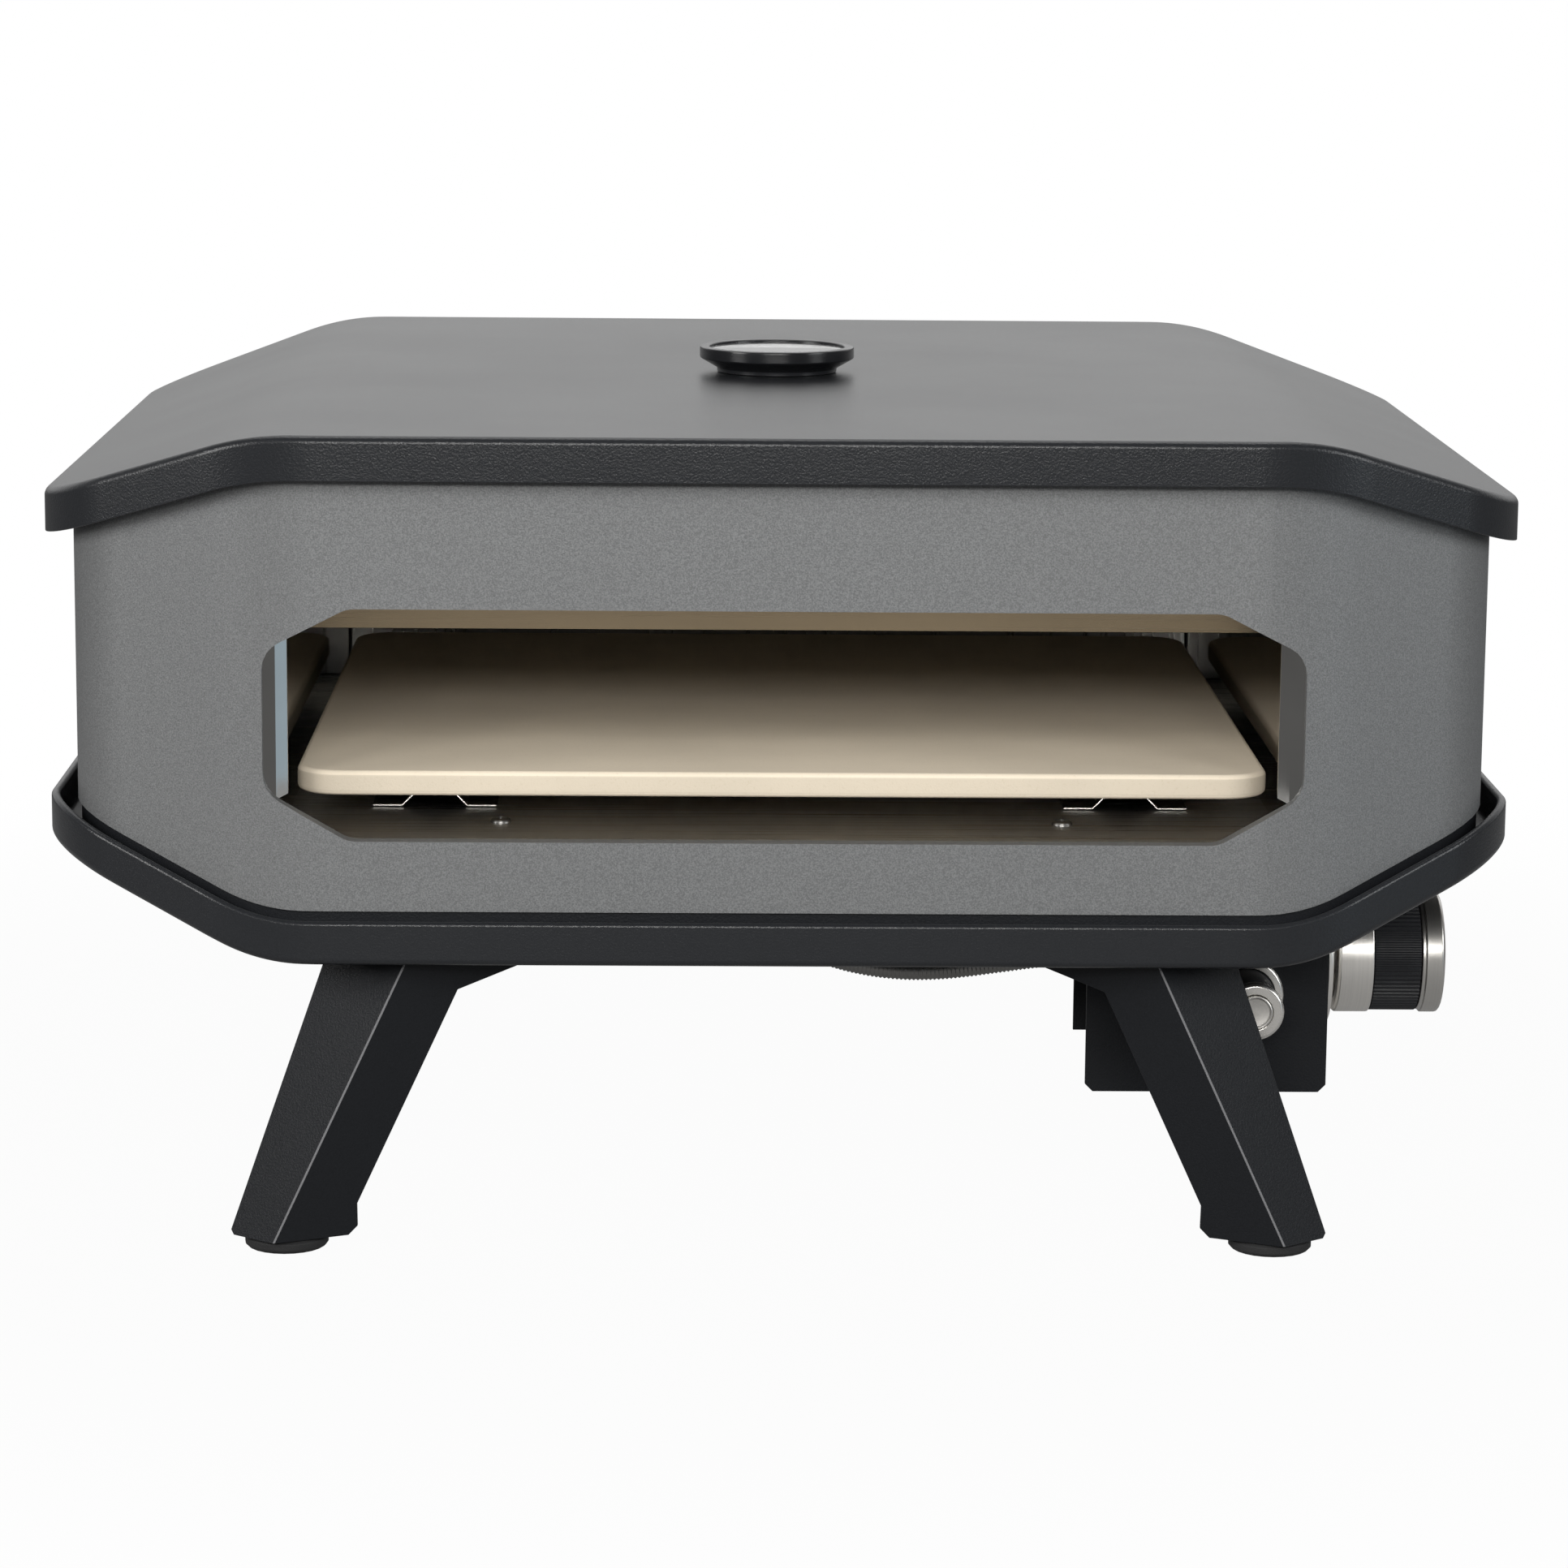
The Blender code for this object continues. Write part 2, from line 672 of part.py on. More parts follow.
def bent_sheet(name, path, run_from, run_to, thickness, plane, offset):
    """A folded sheet: its section path swept straight along the third axis, then thickened."""
    mesh = bpy.data.meshes.new(name)
    low = [plane @ Vector((first, second, run_from)) for first, second in path]
    high = [plane @ Vector((first, second, run_to)) for first, second in path]
    count = len(path)
    faces = [(index, index + 1, count + index + 1, count + index) for index in range(count - 1)]
    mesh.from_pydata(low + high, [], faces)
    sheet = mesh_object(name, mesh)
    solidify = sheet.modifiers.new("sheet", "SOLIDIFY")
    solidify.thickness = thickness
    solidify.offset = offset
    solidify.use_even_offset = True
    return settle(sheet)


def wall(name, path, bottom, top, thickness):
    """An upright sheet along a plan path; its lower and upper edges follow two height functions."""
    mesh = bpy.data.meshes.new(name)
    low = [(point[0], point[1], bottom(point[0])) for point in path]
    high = [(point[0], point[1], top(point[0])) for point in path]
    count = len(path)
    pairs = count if path[0] == path[-1] else count - 1
    faces = [(index, index + 1, count + index + 1, count + index) for index in range(pairs)
             if index + 1 < count]
    mesh.from_pydata(low + high, [], faces)
    sheet = mesh_object(name, mesh)
    weld = sheet.modifiers.new("weld", "WELD")
    weld.merge_threshold = MERGE_SPAN
    solidify = sheet.modifiers.new("sheet", "SOLIDIFY")
    solidify.thickness = thickness
    solidify.offset = -1
    solidify.use_even_offset = True
    return settle(sheet)


def split_path(path, places):
    """Adds a point wherever the path crosses one of the given x places."""
    split = [Vector(path[0])]
    for first, second in zip(path, path[1:]):
        first = Vector(first)
        second = Vector(second)
        crossings = []
        for place_x in places:
            if (first.x - place_x) * (second.x - place_x) < 0:
                crossings.append((place_x - first.x) / (second.x - first.x))
        for share in sorted(crossings):
            point = first.lerp(second, share)
            if (point - split[-1]).length > SEAT_GAP:
                split.append(point)
        if (second - split[-1]).length > SEAT_GAP:
            split.append(second)
    return [tuple(point) for point in split]


def wing_band(name, upper, lower, places, reach, depth):
    """A solid across the oven between two height functions, for cutting bent sheets."""
    xs = [-reach] + places + [reach]
    outline = [(x, lower(x)) for x in xs] + [(x, upper(x)) for x in reversed(xs)]
    return front_solid(name, outline, -depth, depth)


def pressed_pan(name, half_width, half_depth, rim, wing, places):
    """A pan pressed from one sheet, open downwards, with bent wings and a folded rim."""
    reach = half_width + OVERRUN
    depth = half_depth + OVERRUN
    deep = -wing(reach) - 3 * rim
    body = outline_solid(name, octagon_outline(half_width, half_depth), deep, OVERRUN)
    boolean(body, wing_band(name + "_top", lambda x: -wing(x), lambda x: deep - OVERRUN, places,
                            reach, depth), "INTERSECT")
    body = settle(body)
    edge_round = body.modifiers.new("edge", "BEVEL")
    edge_round.width = PAN_EDGE_RADIUS
    edge_round.segments = 2
    edge_round.limit_method = "ANGLE"
    edge_round.angle_limit = math.radians(50)
    edge_round.use_clamp_overlap = False
    body = settle(body)
    boolean(body, wing_band(name + "_below", lambda x: -wing(x) - rim, lambda x: deep - 2 * OVERRUN,
                            places, reach + OVERRUN, depth + OVERRUN), "DIFFERENCE")
    hollow = outline_solid(name + "_hollow", octagon_outline(half_width, half_depth, PAN_SHEET),
                           deep - 2 * OVERRUN, OVERRUN)
    boolean(hollow, wing_band(name + "_inner", lambda x: -wing(x) - PAN_SHEET,
                              lambda x: deep - 3 * OVERRUN, places, reach, depth), "INTERSECT")
    boolean(body, settle(hollow), "DIFFERENCE")
    return settle(body)


def make_lid():
    lid = pressed_pan("lid_shell", LID_HALF_WIDTH, LID_HALF_DEPTH, LID_RIM, lid_wing,
                      wing_breaks(LID_WING_START, LID_WING_SLOPE_SHARE, LID_WING_RADIUS))
    lid.data.transform(Matrix.Translation((0, 0, LID_TOP)))
    hole = cylinder("gauge_hole", (0, 0, LID_TOP - PAN_SHEET - OVERRUN), "Z",
                    PAN_SHEET + 2 * OVERRUN, GAUGE_THREAD_RADIUS + SEAT_GAP, SMALL_ROUND_STEPS)
    boolean(lid, hole, "DIFFERENCE")
    return place(settle(lid), "satin_black", math.radians(25))


def make_tray():
    tray = pressed_pan("base_tray", LID_HALF_WIDTH, LID_HALF_DEPTH - TRAY_SETBACK, TRAY_RIM, tray_wing,
                       wing_breaks(TRAY_WING_START, TRAY_WING_SLOPE_SHARE, TRAY_WING_RADIUS))
    flip = Matrix.Translation((0, 0, TRAY_BOTTOM)) @ Matrix.Rotation(math.pi, 4, "Y")
    tray.data.transform(flip)
    hole = cylinder("mixer_hole", (0, BURNER_Y, TRAY_BOTTOM - OVERRUN), "Z",
                    PAN_SHEET + 2 * OVERRUN, MIXER_RADIUS + 4 * SEAT_GAP, SMALL_ROUND_STEPS)
    boolean(tray, hole, "DIFFERENCE")
    return place(settle(tray), "satin_black", math.radians(25))


def body_top(x):
    return LID_TOP - lid_wing(x) - PAN_SHEET - SEAT_GAP


def body_bottom(x):
    return BODY_BOTTOM + tray_wing(x)


def tray_floor(x):
    return TRAY_BOTTOM + tray_wing(x) + PAN_SHEET * math.hypot(1, TRAY_WING_SLOPE_SHARE) + SEAT_GAP


def all_breaks():
    return sorted(wing_breaks(LID_WING_START, LID_WING_SLOPE_SHARE, LID_WING_RADIUS)
                  + wing_breaks(TRAY_WING_START, TRAY_WING_SLOPE_SHARE, TRAY_WING_RADIUS))


def end_path(sign, inset, seam):
    """Half the plan round the front (sign -1) or the back (sign 1), from seam to seam."""
    side, front, front_x, side_y = octagon_quarter(LID_HALF_WIDTH, LID_HALF_DEPTH, inset)
    corners = [(-side, sign * seam), (-side, sign * side_y), (-front_x, sign * front),
               (front_x, sign * front), (side, sign * side_y), (side, sign * seam)]
    radii = [0, SIDE_CORNER_RADIUS - inset, FRONT_CORNER_RADIUS - inset,
             FRONT_CORNER_RADIUS - inset, SIDE_CORNER_RADIUS - inset, 0]
    path = [tuple(point) for point in rounded(corners, radii, closed=False)]
    if sign > 0:
        path.reverse()
    return split_path(path, all_breaks())


def mouth_outline(grow=0.0):
    """The mouth: an octagon longer than high, with rounded corners."""
    half = MOUTH_HALF_WIDTH + grow
    low = MOUTH_BOTTOM - grow
    high = MOUTH_TOP + grow
    inner = MOUTH_HALF_WIDTH - MOUTH_CHAMFER_X
    low_side = MOUTH_BOTTOM + MOUTH_BOTTOM_CHAMFER_Z
    high_side = MOUTH_TOP - MOUTH_TOP_CHAMFER_Z
    corners = [(-inner, low), (inner, low), (half, low_side), (half, high_side),
               (inner, high), (-inner, high), (-half, high_side), (-half, low_side)]
    return rounded(corners, [MOUTH_CORNER_RADIUS + grow] * len(corners), steps=4)


def make_front_panel():
    panel = wall("front_panel", end_path(-1, BODY_INSET, BODY_SEAM), body_bottom, body_top, BODY_SHEET)
    face_y = -(LID_HALF_DEPTH - BODY_INSET)
    inner_face = face_y + BODY_SHEET
    opening = front_solid("mouth_cut", mouth_outline(), face_y - OVERRUN, inner_face + OVERRUN)
    boolean(panel, opening, "DIFFERENCE")
    lip = front_solid("mouth_lip", mouth_outline(BODY_SHEET), face_y + BODY_SHEET / 2,
                      inner_face + MOUTH_LIP)
    lip_bore = front_solid("mouth_lip_bore", mouth_outline(), face_y - OVERRUN,
                           inner_face + MOUTH_LIP + OVERRUN)
    boolean(lip, lip_bore, "DIFFERENCE")
    lip = settle(lip)
    inside = octagon_outline(LID_HALF_WIDTH, LID_HALF_DEPTH, BODY_INSET + BODY_SHEET / 2)
    boolean(lip, outline_solid("mouth_lip_limit", inside, TRAY_BOTTOM, LID_TOP), "INTERSECT")
    panel = settle(panel)
    boolean(panel, settle(lip), "UNION")
    return place(settle(panel), "grey_sparkle", math.radians(25))


def make_side_panels():
    side = LID_HALF_WIDTH - BODY_INSET
    reach = BODY_SEAM - SEAM_GAP
    for name, path in (("side_panel_left", [(-side, reach), (-side, -reach)]),
                       ("side_panel_right", [(side, -reach), (side, reach)])):
        place(wall(name, path, body_bottom, body_top, BODY_SHEET), "grey_sparkle")


def make_rear_panel():
    panel = wall("rear_panel", end_path(1, BODY_INSET, BODY_SEAM), body_bottom, body_top, BODY_SHEET)
    place(panel, "grey_sparkle", math.radians(25))


def make_base_frame():
    """The black ring inside the foot of the body, standing in the tray."""
    inset = BODY_INSET + BODY_SHEET + SEAT_GAP
    front = end_path(-1, inset, 0.0)
    rear = end_path(1, inset, 0.0)
    path = front + rear[1:]
    ring = wall("base_frame", path, tray_floor, lambda x: body_bottom(x) + FRAME_LAP, BODY_SHEET)
    place(ring, "satin_black", math.radians(25))


def chamber_front():
    return -(LID_HALF_DEPTH - BODY_INSET) + BODY_SHEET + MOUTH_LIP + SEAT_GAP


def make_chamber_floor():
    """The floor sheet, folded down at both sides to stand on the tray."""
    foot = tray_floor(FLOOR_HALF_WIDTH)
    path = [(-FLOOR_HALF_WIDTH, foot), (-FLOOR_HALF_WIDTH, FLOOR_TOP),
            (FLOOR_HALF_WIDTH, FLOOR_TOP), (FLOOR_HALF_WIDTH, foot)]
    floor = bent_sheet("chamber_floor", path, -chamber_front(), -(CHAMBER_BACK + REAR_FLANGE),
                       BODY_SHEET, XZ_PLANE, -1)
    hole = cylinder("floor_mixer_hole", (0, BURNER_Y, FLOOR_TOP - BODY_SHEET - OVERRUN), "Z",
                    BODY_SHEET + 2 * OVERRUN, MIXER_RADIUS + 4 * SEAT_GAP, SMALL_ROUND_STEPS)
    boolean(floor, hole, "DIFFERENCE")
    place(settle(floor), "stainless")


def make_chamber_walls():
    """Side walls with a stepped flange that closes the gap behind the mouth's edge."""
    front = chamber_front()
    top = CEILING_Z - LINER_SHEET / 2 - SEAT_GAP
    path = [(FLANGE_OUTER, front), (FLANGE_BEND, front + FLANGE_STEP),
            (FLANGE_EDGE, front + 2 * FLANGE_STEP),
            (WALL_HALF_WIDTH, front + 2 * FLANGE_STEP + FLANGE_RETURN),
            (WALL_HALF_WIDTH, CHAMBER_BACK - LINER_SHEET - SEAT_GAP)]
    for name, sign in (("chamber_wall_left", -1), ("chamber_wall_right", 1)):
        section = [(sign * x, y) for x, y in path]
        if sign < 0:
            section.reverse()
        sheet = bent_sheet(name, section, FLOOR_TOP + SEAT_GAP, top, LINER_SHEET,
                           Matrix.Identity(4), 1)
        slot = front_solid(name + "_toe", rounded(
            [(sign * (FLANGE_EDGE - OVERRUN), FLOOR_TOP - OVERRUN),
             (sign * (FLANGE_OUTER + OVERRUN), FLOOR_TOP - OVERRUN),
             (sign * (FLANGE_OUTER + OVERRUN), FLANGE_BOTTOM - OVERRUN),
             (sign * FLANGE_BEND, FLANGE_BOTTOM),
             (sign * (FLANGE_EDGE - OVERRUN), FLANGE_BOTTOM + OVERRUN)],
            [0, 0, 0, FLANGE_CORNER_RADIUS, 0], steps=4),
            front - OVERRUN, front + 2 * FLANGE_STEP + FLANGE_RETURN - SEAT_GAP)
        boolean(sheet, slot, "DIFFERENCE")
        place(settle(sheet), "stainless")


def make_chamber_ends():
    half = WALL_HALF_WIDTH - SEAT_GAP
    top = CEILING_Z - LINER_SHEET / 2 - SEAT_GAP
    back_path = [(CHAMBER_BACK + REAR_FLANGE, FLOOR_TOP + SEAT_GAP), (CHAMBER_BACK, FLOOR_TOP + SEAT_GAP),
                 (CHAMBER_BACK, top)]
    back = bent_sheet("chamber_back_wall", back_path, -half, half, LINER_SHEET, YZ_PLANE, 1)
    place(back, "stainless")
    low_y = chamber_front() + BAFFLE_RUN
    ceiling_path = [(chamber_front(), BAFFLE_LOW_Z + BAFFLE_RUN), (low_y, BAFFLE_LOW_Z),
                    (low_y + BAFFLE_FOLD, BAFFLE_LOW_Z + BAFFLE_RISE),
                    (low_y + 2 * BAFFLE_FOLD, CEILING_Z), (CHAMBER_BACK + REAR_FLANGE, CEILING_Z)]
    ceiling = bent_sheet("chamber_ceiling", ceiling_path, -WALL_HALF_WIDTH, WALL_HALF_WIDTH,
                         LINER_SHEET, YZ_PLANE, 0)
    notch_back = chamber_front() + 2 * FLANGE_STEP + FLANGE_RETURN + LINER_SHEET + SEAT_GAP
    for name, sign in (("left", -1), ("right", 1)):
        across = sorted((sign * (FLANGE_EDGE - SEAT_GAP), sign * (WALL_HALF_WIDTH + OVERRUN)))
        notch = box("ceiling_notch_" + name, (across[0], chamber_front() - OVERRUN, FLOOR_TOP),
                    (across[1], notch_back, CEILING_Z + OVERRUN))
        boolean(ceiling, notch, "DIFFERENCE")
    probe_hole = cylinder("ceiling_probe_hole", (0, 0, CEILING_Z - OVERRUN), "Z", 2 * OVERRUN,
                          GAUGE_PROBE_RADIUS + 4 * SEAT_GAP, SMALL_ROUND_STEPS)
    boolean(ceiling, probe_hole, "DIFFERENCE")
    place(settle(ceiling), "stainless")


def make_flame_guard():
    """The slotted guard between the stone and the burner."""
    half = WALL_HALF_WIDTH - 2 * SEAT_GAP
    path = [(GUARD_Y + GUARD_FOLD, FLOOR_TOP + SEAT_GAP), (GUARD_Y, FLOOR_TOP + SEAT_GAP),
            (GUARD_Y, GUARD_TOP), (GUARD_Y + GUARD_FOLD, GUARD_TOP)]
    guard = bent_sheet("flame_guard", path, -half, half, LINER_SHEET, YZ_PLANE, 1)
    first = -(GUARD_SLOTS - 1) * GUARD_SLOT_PITCH / 2
    comb = bpy.data.meshes.new("guard_slots")
    slots = bmesh.new()
    for index in range(GUARD_SLOTS):
        middle = Vector((first + index * GUARD_SLOT_PITCH, GUARD_Y, GUARD_SLOT_Z))
        size = Matrix.Diagonal((GUARD_SLOT_WIDTH, 2 * OVERRUN, GUARD_SLOT_HEIGHT, 1))
        bmesh.ops.create_cube(slots, size=1, matrix=Matrix.Translation(middle) @ size)
    slots.to_mesh(comb)
    slots.free()
    boolean(guard, mesh_object("guard_slots", comb), "DIFFERENCE")
    place(settle(guard), "stainless")


def make_stone_rests():
    """Two folded strips whose ridges carry the stone."""
    for name, sign in (("stone_rest_left", -1), ("stone_rest_right", 1)):
        middle = sign * REST_X
        low = FLOOR_TOP + SEAT_GAP
        path = [(middle - REST_BASE / 2 - REST_FLANGE, low), (middle - REST_BASE / 2, low),
                (middle, low + REST_HEIGHT - LINER_SHEET), (middle + REST_BASE / 2, low),
                (middle + REST_BASE / 2 + REST_FLANGE, low)]
        rest = bent_sheet(name, path, -REST_FRONT, -REST_BACK, LINER_SHEET, XZ_PLANE, 1)
        place(rest, "stainless")


def rest_ridge():
    """The top of the rests' ridges, where the sheet is thicker by its slope."""
    slope = math.hypot(REST_BASE / 2, REST_HEIGHT - LINER_SHEET) / (REST_BASE / 2)
    return FLOOR_TOP + SEAT_GAP + REST_HEIGHT - LINER_SHEET + LINER_SHEET * slope


def make_stone():
    back = STONE_BACK
    corners = [(-STONE_HALF_WIDTH, STONE_FRONT), (STONE_HALF_WIDTH, STONE_FRONT),
               (STONE_HALF_WIDTH, back), (-STONE_HALF_WIDTH, back)]
    low = rest_ridge() + SEAT_GAP
    stone = outline_solid("baking_stone", rounded(corners, [STONE_CORNER_RADIUS] * 4), low,
                          low + STONE_THICKNESS)
    soften(stone, STONE_EDGE_RADIUS, 2)
    stone = place(settle(stone), "cordierite", math.radians(35))
    set_origin(stone, (0, STONE_FRONT, low))


def soften(part, width, segments, angle=math.radians(40)):
    edge_round = part.modifiers.new("edge", "BEVEL")
    edge_round.width = width
    edge_round.segments = segments
    edge_round.limit_method = "ANGLE"
    edge_round.angle_limit = angle
    return part


def make_burner():
    """A straight tube across the back of the chamber, with slots facing up, toward the igniter."""
    pipe = cylinder("burner_tube", (-BURNER_HALF_LENGTH, BURNER_Y, BURNER_Z), "X",
                    2 * BURNER_HALF_LENGTH, BURNER_RADIUS, MEDIUM_ROUND_STEPS)
    bore = cylinder("burner_bore", (-BURNER_HALF_LENGTH + BURNER_WALL, BURNER_Y, BURNER_Z), "X",
                    2 * (BURNER_HALF_LENGTH - BURNER_WALL), BURNER_RADIUS - BURNER_WALL, MEDIUM_ROUND_STEPS)
    boolean(pipe, bore, "DIFFERENCE")
    port_mesh = bpy.data.meshes.new("burner_ports")
    ports = bmesh.new()
    first = -(BURNER_PORTS - 1) * BURNER_PORT_PITCH / 2
    reach = Matrix.Translation((0, 0, BURNER_RADIUS))
    size = Matrix.Diagonal((BURNER_PORT_LENGTH, BURNER_PORT_WIDTH, BURNER_RADIUS, 1))
    for index in range(BURNER_PORTS):
        middle = Matrix.Translation((first + index * BURNER_PORT_PITCH, BURNER_Y, BURNER_Z))
        tilt = Matrix.Rotation(BURNER_PORT_TILT, 4, "X")
        bmesh.ops.create_cube(ports, size=1, matrix=middle @ tilt @ reach @ size)
    ports.to_mesh(port_mesh)
    ports.free()
    boolean(pipe, mesh_object("burner_ports", port_mesh), "DIFFERENCE")
    inlet = cylinder("burner_inlet_hole", (0, BURNER_Y, BURNER_Z - 2 * BURNER_RADIUS), "Z",
                     2 * BURNER_RADIUS, MIXER_BORE - SEAT_GAP, SMALL_ROUND_STEPS)
    boolean(pipe, inlet, "DIFFERENCE")
    place(settle(pipe), "stainless", math.radians(35))
    make_burner_feet()


def make_burner_feet():
    """Two saddles that carry the burner over the chamber floor."""
    low = FLOOR_TOP + SEAT_GAP
    half = BURNER_FOOT_LENGTH / 2
    height = BURNER_Z - BURNER_RADIUS / 2
    shoulder = BURNER_RADIUS + BURNER_WALL
    corners = [(BURNER_Y - half, low), (BURNER_Y + half, low), (BURNER_Y + shoulder, height),
               (BURNER_Y - shoulder, height)]
    for name, middle in (("burner_support_left", -BURNER_FOOT_X), ("burner_support_right", BURNER_FOOT_X)):
        saddle = side_solid(name, corners, middle - BURNER_FOOT_WIDTH / 2, middle + BURNER_FOOT_WIDTH / 2)
        bed = cylinder("saddle_bed", (middle - BURNER_FOOT_WIDTH, BURNER_Y, BURNER_Z), "X",
                       2 * BURNER_FOOT_WIDTH, BURNER_RADIUS + SEAT_GAP, MEDIUM_ROUND_STEPS)
        boolean(saddle, bed, "DIFFERENCE")
        place(settle(saddle), "stainless")


def mixer_route():
    """From the burner down through the floor and the tray, then forward to the jet."""
    top = BURNER_Z - BURNER_RADIUS - SEAT_GAP * 4
    low = top - MIXER_DROP + MIXER_BEND
    points = [(0, BURNER_Y, top)]
    for step in range(7):
        angle = math.pi / 2 * step / 6
        points.append((0, BURNER_Y - MIXER_BEND + MIXER_BEND * math.cos(angle),
                       low - MIXER_BEND * math.sin(angle)))
    points.append((0, BURNER_Y - MIXER_BEND - MIXER_RUN, low - MIXER_BEND))
    return points


def make_mixer():
    route = mixer_route()
    pipe = tube("mixing_tube", route, MIXER_RADIUS, 3)
    first = Vector(route[0]) + Vector((0, 0, OVERRUN))
    last = Vector(route[-1]) - Vector((0, OVERRUN, 0))
    bore = tube("mixing_bore", [first] + route[1:-1] + [last], MIXER_BORE, 3)
    boolean(pipe, bore, "DIFFERENCE")
    place(settle(pipe), "stainless", math.radians(35))
    mouth = Vector(route[-1])
    outer = MIXER_RADIUS + SEAT_GAP + SHUTTER_WALL
    inner = MIXER_RADIUS + SEAT_GAP
    shutter = turned("air_shutter", [(inner, SHUTTER_LENGTH), (outer, SHUTTER_LENGTH), (outer, 0),
                                     (inner, 0)],
                     mouth + Vector((0, SHUTTER_LENGTH - OVERRUN, 0)), "-Y", MEDIUM_ROUND_STEPS)
    place(shutter, "brushed_nickel", math.radians(35))
    carrier_y = mouth.y - 2 * JET_CARRIER - OVERRUN
    jet = turned("gas_jet", [(0, JET_LENGTH), (JET_RADIUS / 2, JET_LENGTH),
                             (JET_RADIUS, JET_LENGTH - JET_RADIUS),
                             (JET_RADIUS, JET_CARRIER), (JET_CARRIER_RADIUS, JET_CARRIER),
                             (JET_CARRIER_RADIUS, 0), (0, 0)],
                 (0, carrier_y, mouth.z), "Y", SMALL_ROUND_STEPS)
    place(jet, "brass", math.radians(35))


def make_probe(name, x, finish_name):
    """A ceramic rod with a wire tip beside the burner, on a small clip on the floor."""
    low = FLOOR_TOP + SEAT_GAP
    y = BURNER_Y + PROBE_STANDOFF
    rod = turned(name, [(0, CERAMIC_LENGTH + PROBE_WIRE_LENGTH),
                        (PROBE_WIRE_RADIUS, CERAMIC_LENGTH + PROBE_WIRE_LENGTH),
                        (PROBE_WIRE_RADIUS, CERAMIC_LENGTH), (CERAMIC_RADIUS, CERAMIC_LENGTH),
                        (CERAMIC_RADIUS, PROBE_CLIP_HEIGHT), (PROBE_CLIP_WIDTH / 2, PROBE_CLIP_HEIGHT),
                        (PROBE_CLIP_WIDTH / 2, 0), (0, 0)], (x, y, low), "Z", 12)
    place(rod, finish_name, math.radians(35))


def make_control_bracket():
    """A U of sheet under the tray: front plate, right plate and back plate, open left and below."""
    top = TRAY_BOTTOM - SEAT_GAP
    high = top + tray_wing(BRACKET_RIGHT) + OVERRUN
    outer = box("control_bracket", (BRACKET_LEFT, BRACKET_FRONT, BRACKET_BOTTOM),
                (BRACKET_RIGHT, BRACKET_BACK, high))
    hollow = box("bracket_hollow", (BRACKET_LEFT - OVERRUN, BRACKET_FRONT + BRACKET_SHEET,
                                    BRACKET_BOTTOM - OVERRUN),
                 (BRACKET_RIGHT - BRACKET_SHEET, BRACKET_BACK - BRACKET_SHEET, high + OVERRUN))
    boolean(outer, hollow, "DIFFERENCE")
    outer = settle(outer)
    flat_end = TRAY_WING_START - TRAY_WING_RADIUS * math.tan(math.atan(TRAY_WING_SLOPE_SHARE) / 2)
    low = top - BRACKET_SHEET
    inner_front = BRACKET_FRONT + BRACKET_SHEET / 2
    inner_back = BRACKET_BACK - BRACKET_SHEET / 2
    front_flange = box("bracket_front_flange", (BRACKET_LEFT, inner_front, low),
                       (flat_end, BRACKET_FRONT + BRACKET_FLANGE, top))
    rear_flange = box("bracket_rear_flange", (BRACKET_LEFT, BRACKET_BACK - BRACKET_FLANGE, low),
                      (flat_end, inner_back, top))
    boolean(outer, front_flange, "UNION")
    boolean(outer, rear_flange, "UNION")
    outer = settle(outer)
    above = high + tray_wing(LID_HALF_WIDTH)
    under_tray = wing_band("bracket_top_cut", lambda x: above, lambda x: top + tray_wing(x),
                           wing_breaks(TRAY_WING_START, TRAY_WING_SLOPE_SHARE, TRAY_WING_RADIUS),
                           LID_HALF_WIDTH, LID_HALF_DEPTH)
    boolean(outer, under_tray, "DIFFERENCE")
    step = box("bracket_back_step", (BRACKET_LEFT - OVERRUN, BRACKET_BACK - BRACKET_FLANGE,
                                     BRACKET_BOTTOM - OVERRUN),
               (BRACKET_RIGHT - BRACKET_SHEET - SEAT_GAP, BRACKET_BACK + OVERRUN,
                BRACKET_BOTTOM + BRACKET_BACK_RISE))
    boolean(outer, step, "DIFFERENCE")
    for name, x, sign in (("left", BRACKET_LEFT, 1), ("right", BRACKET_RIGHT, -1)):
        corner = [(x - sign * OVERRUN, BRACKET_BOTTOM - OVERRUN),
                  (x + sign * (BRACKET_CHAMFER + OVERRUN), BRACKET_BOTTOM - OVERRUN),
                  (x - sign * OVERRUN, BRACKET_BOTTOM + BRACKET_CHAMFER + OVERRUN)]
        cut = front_solid("bracket_corner_" + name, corner, BRACKET_FRONT - OVERRUN, BRACKET_BACK + OVERRUN)
        boolean(outer, cut, "DIFFERENCE")
    spindle_hole = cylinder("bracket_spindle_hole", (BRACKET_RIGHT - 2 * OVERRUN, VALVE_Y, VALVE_Z), "X",
                            3 * OVERRUN, SPINDLE_HOLE_RADIUS, MEDIUM_ROUND_STEPS)
    boolean(outer, spindle_hole, "DIFFERENCE")
    button_hole = cylinder("bracket_button_hole", (IGNITER_X, BRACKET_FRONT + 2 * OVERRUN, IGNITER_Z), "-Y",
                           3 * OVERRUN, IGNITER_BODY_RADIUS + SEAT_GAP, MEDIUM_ROUND_STEPS)
    boolean(outer, button_hole, "DIFFERENCE")
    inlet_hole = cylinder("bracket_inlet_hole", (valve_middle(), BRACKET_BACK - 2 * OVERRUN, VALVE_Z), "Y",
                          3 * OVERRUN, INLET_RADIUS + SEAT_GAP, MEDIUM_ROUND_STEPS)
    boolean(outer, inlet_hole, "DIFFERENCE")
    place(settle(outer), "satin_black")


def valve_right():
    return BRACKET_RIGHT - BRACKET_SHEET - SEAT_GAP


def valve_middle():
    return valve_right() - VALVE_BODY_LENGTH / 2


def valve_left():
    return valve_right() - VALVE_BODY_LENGTH


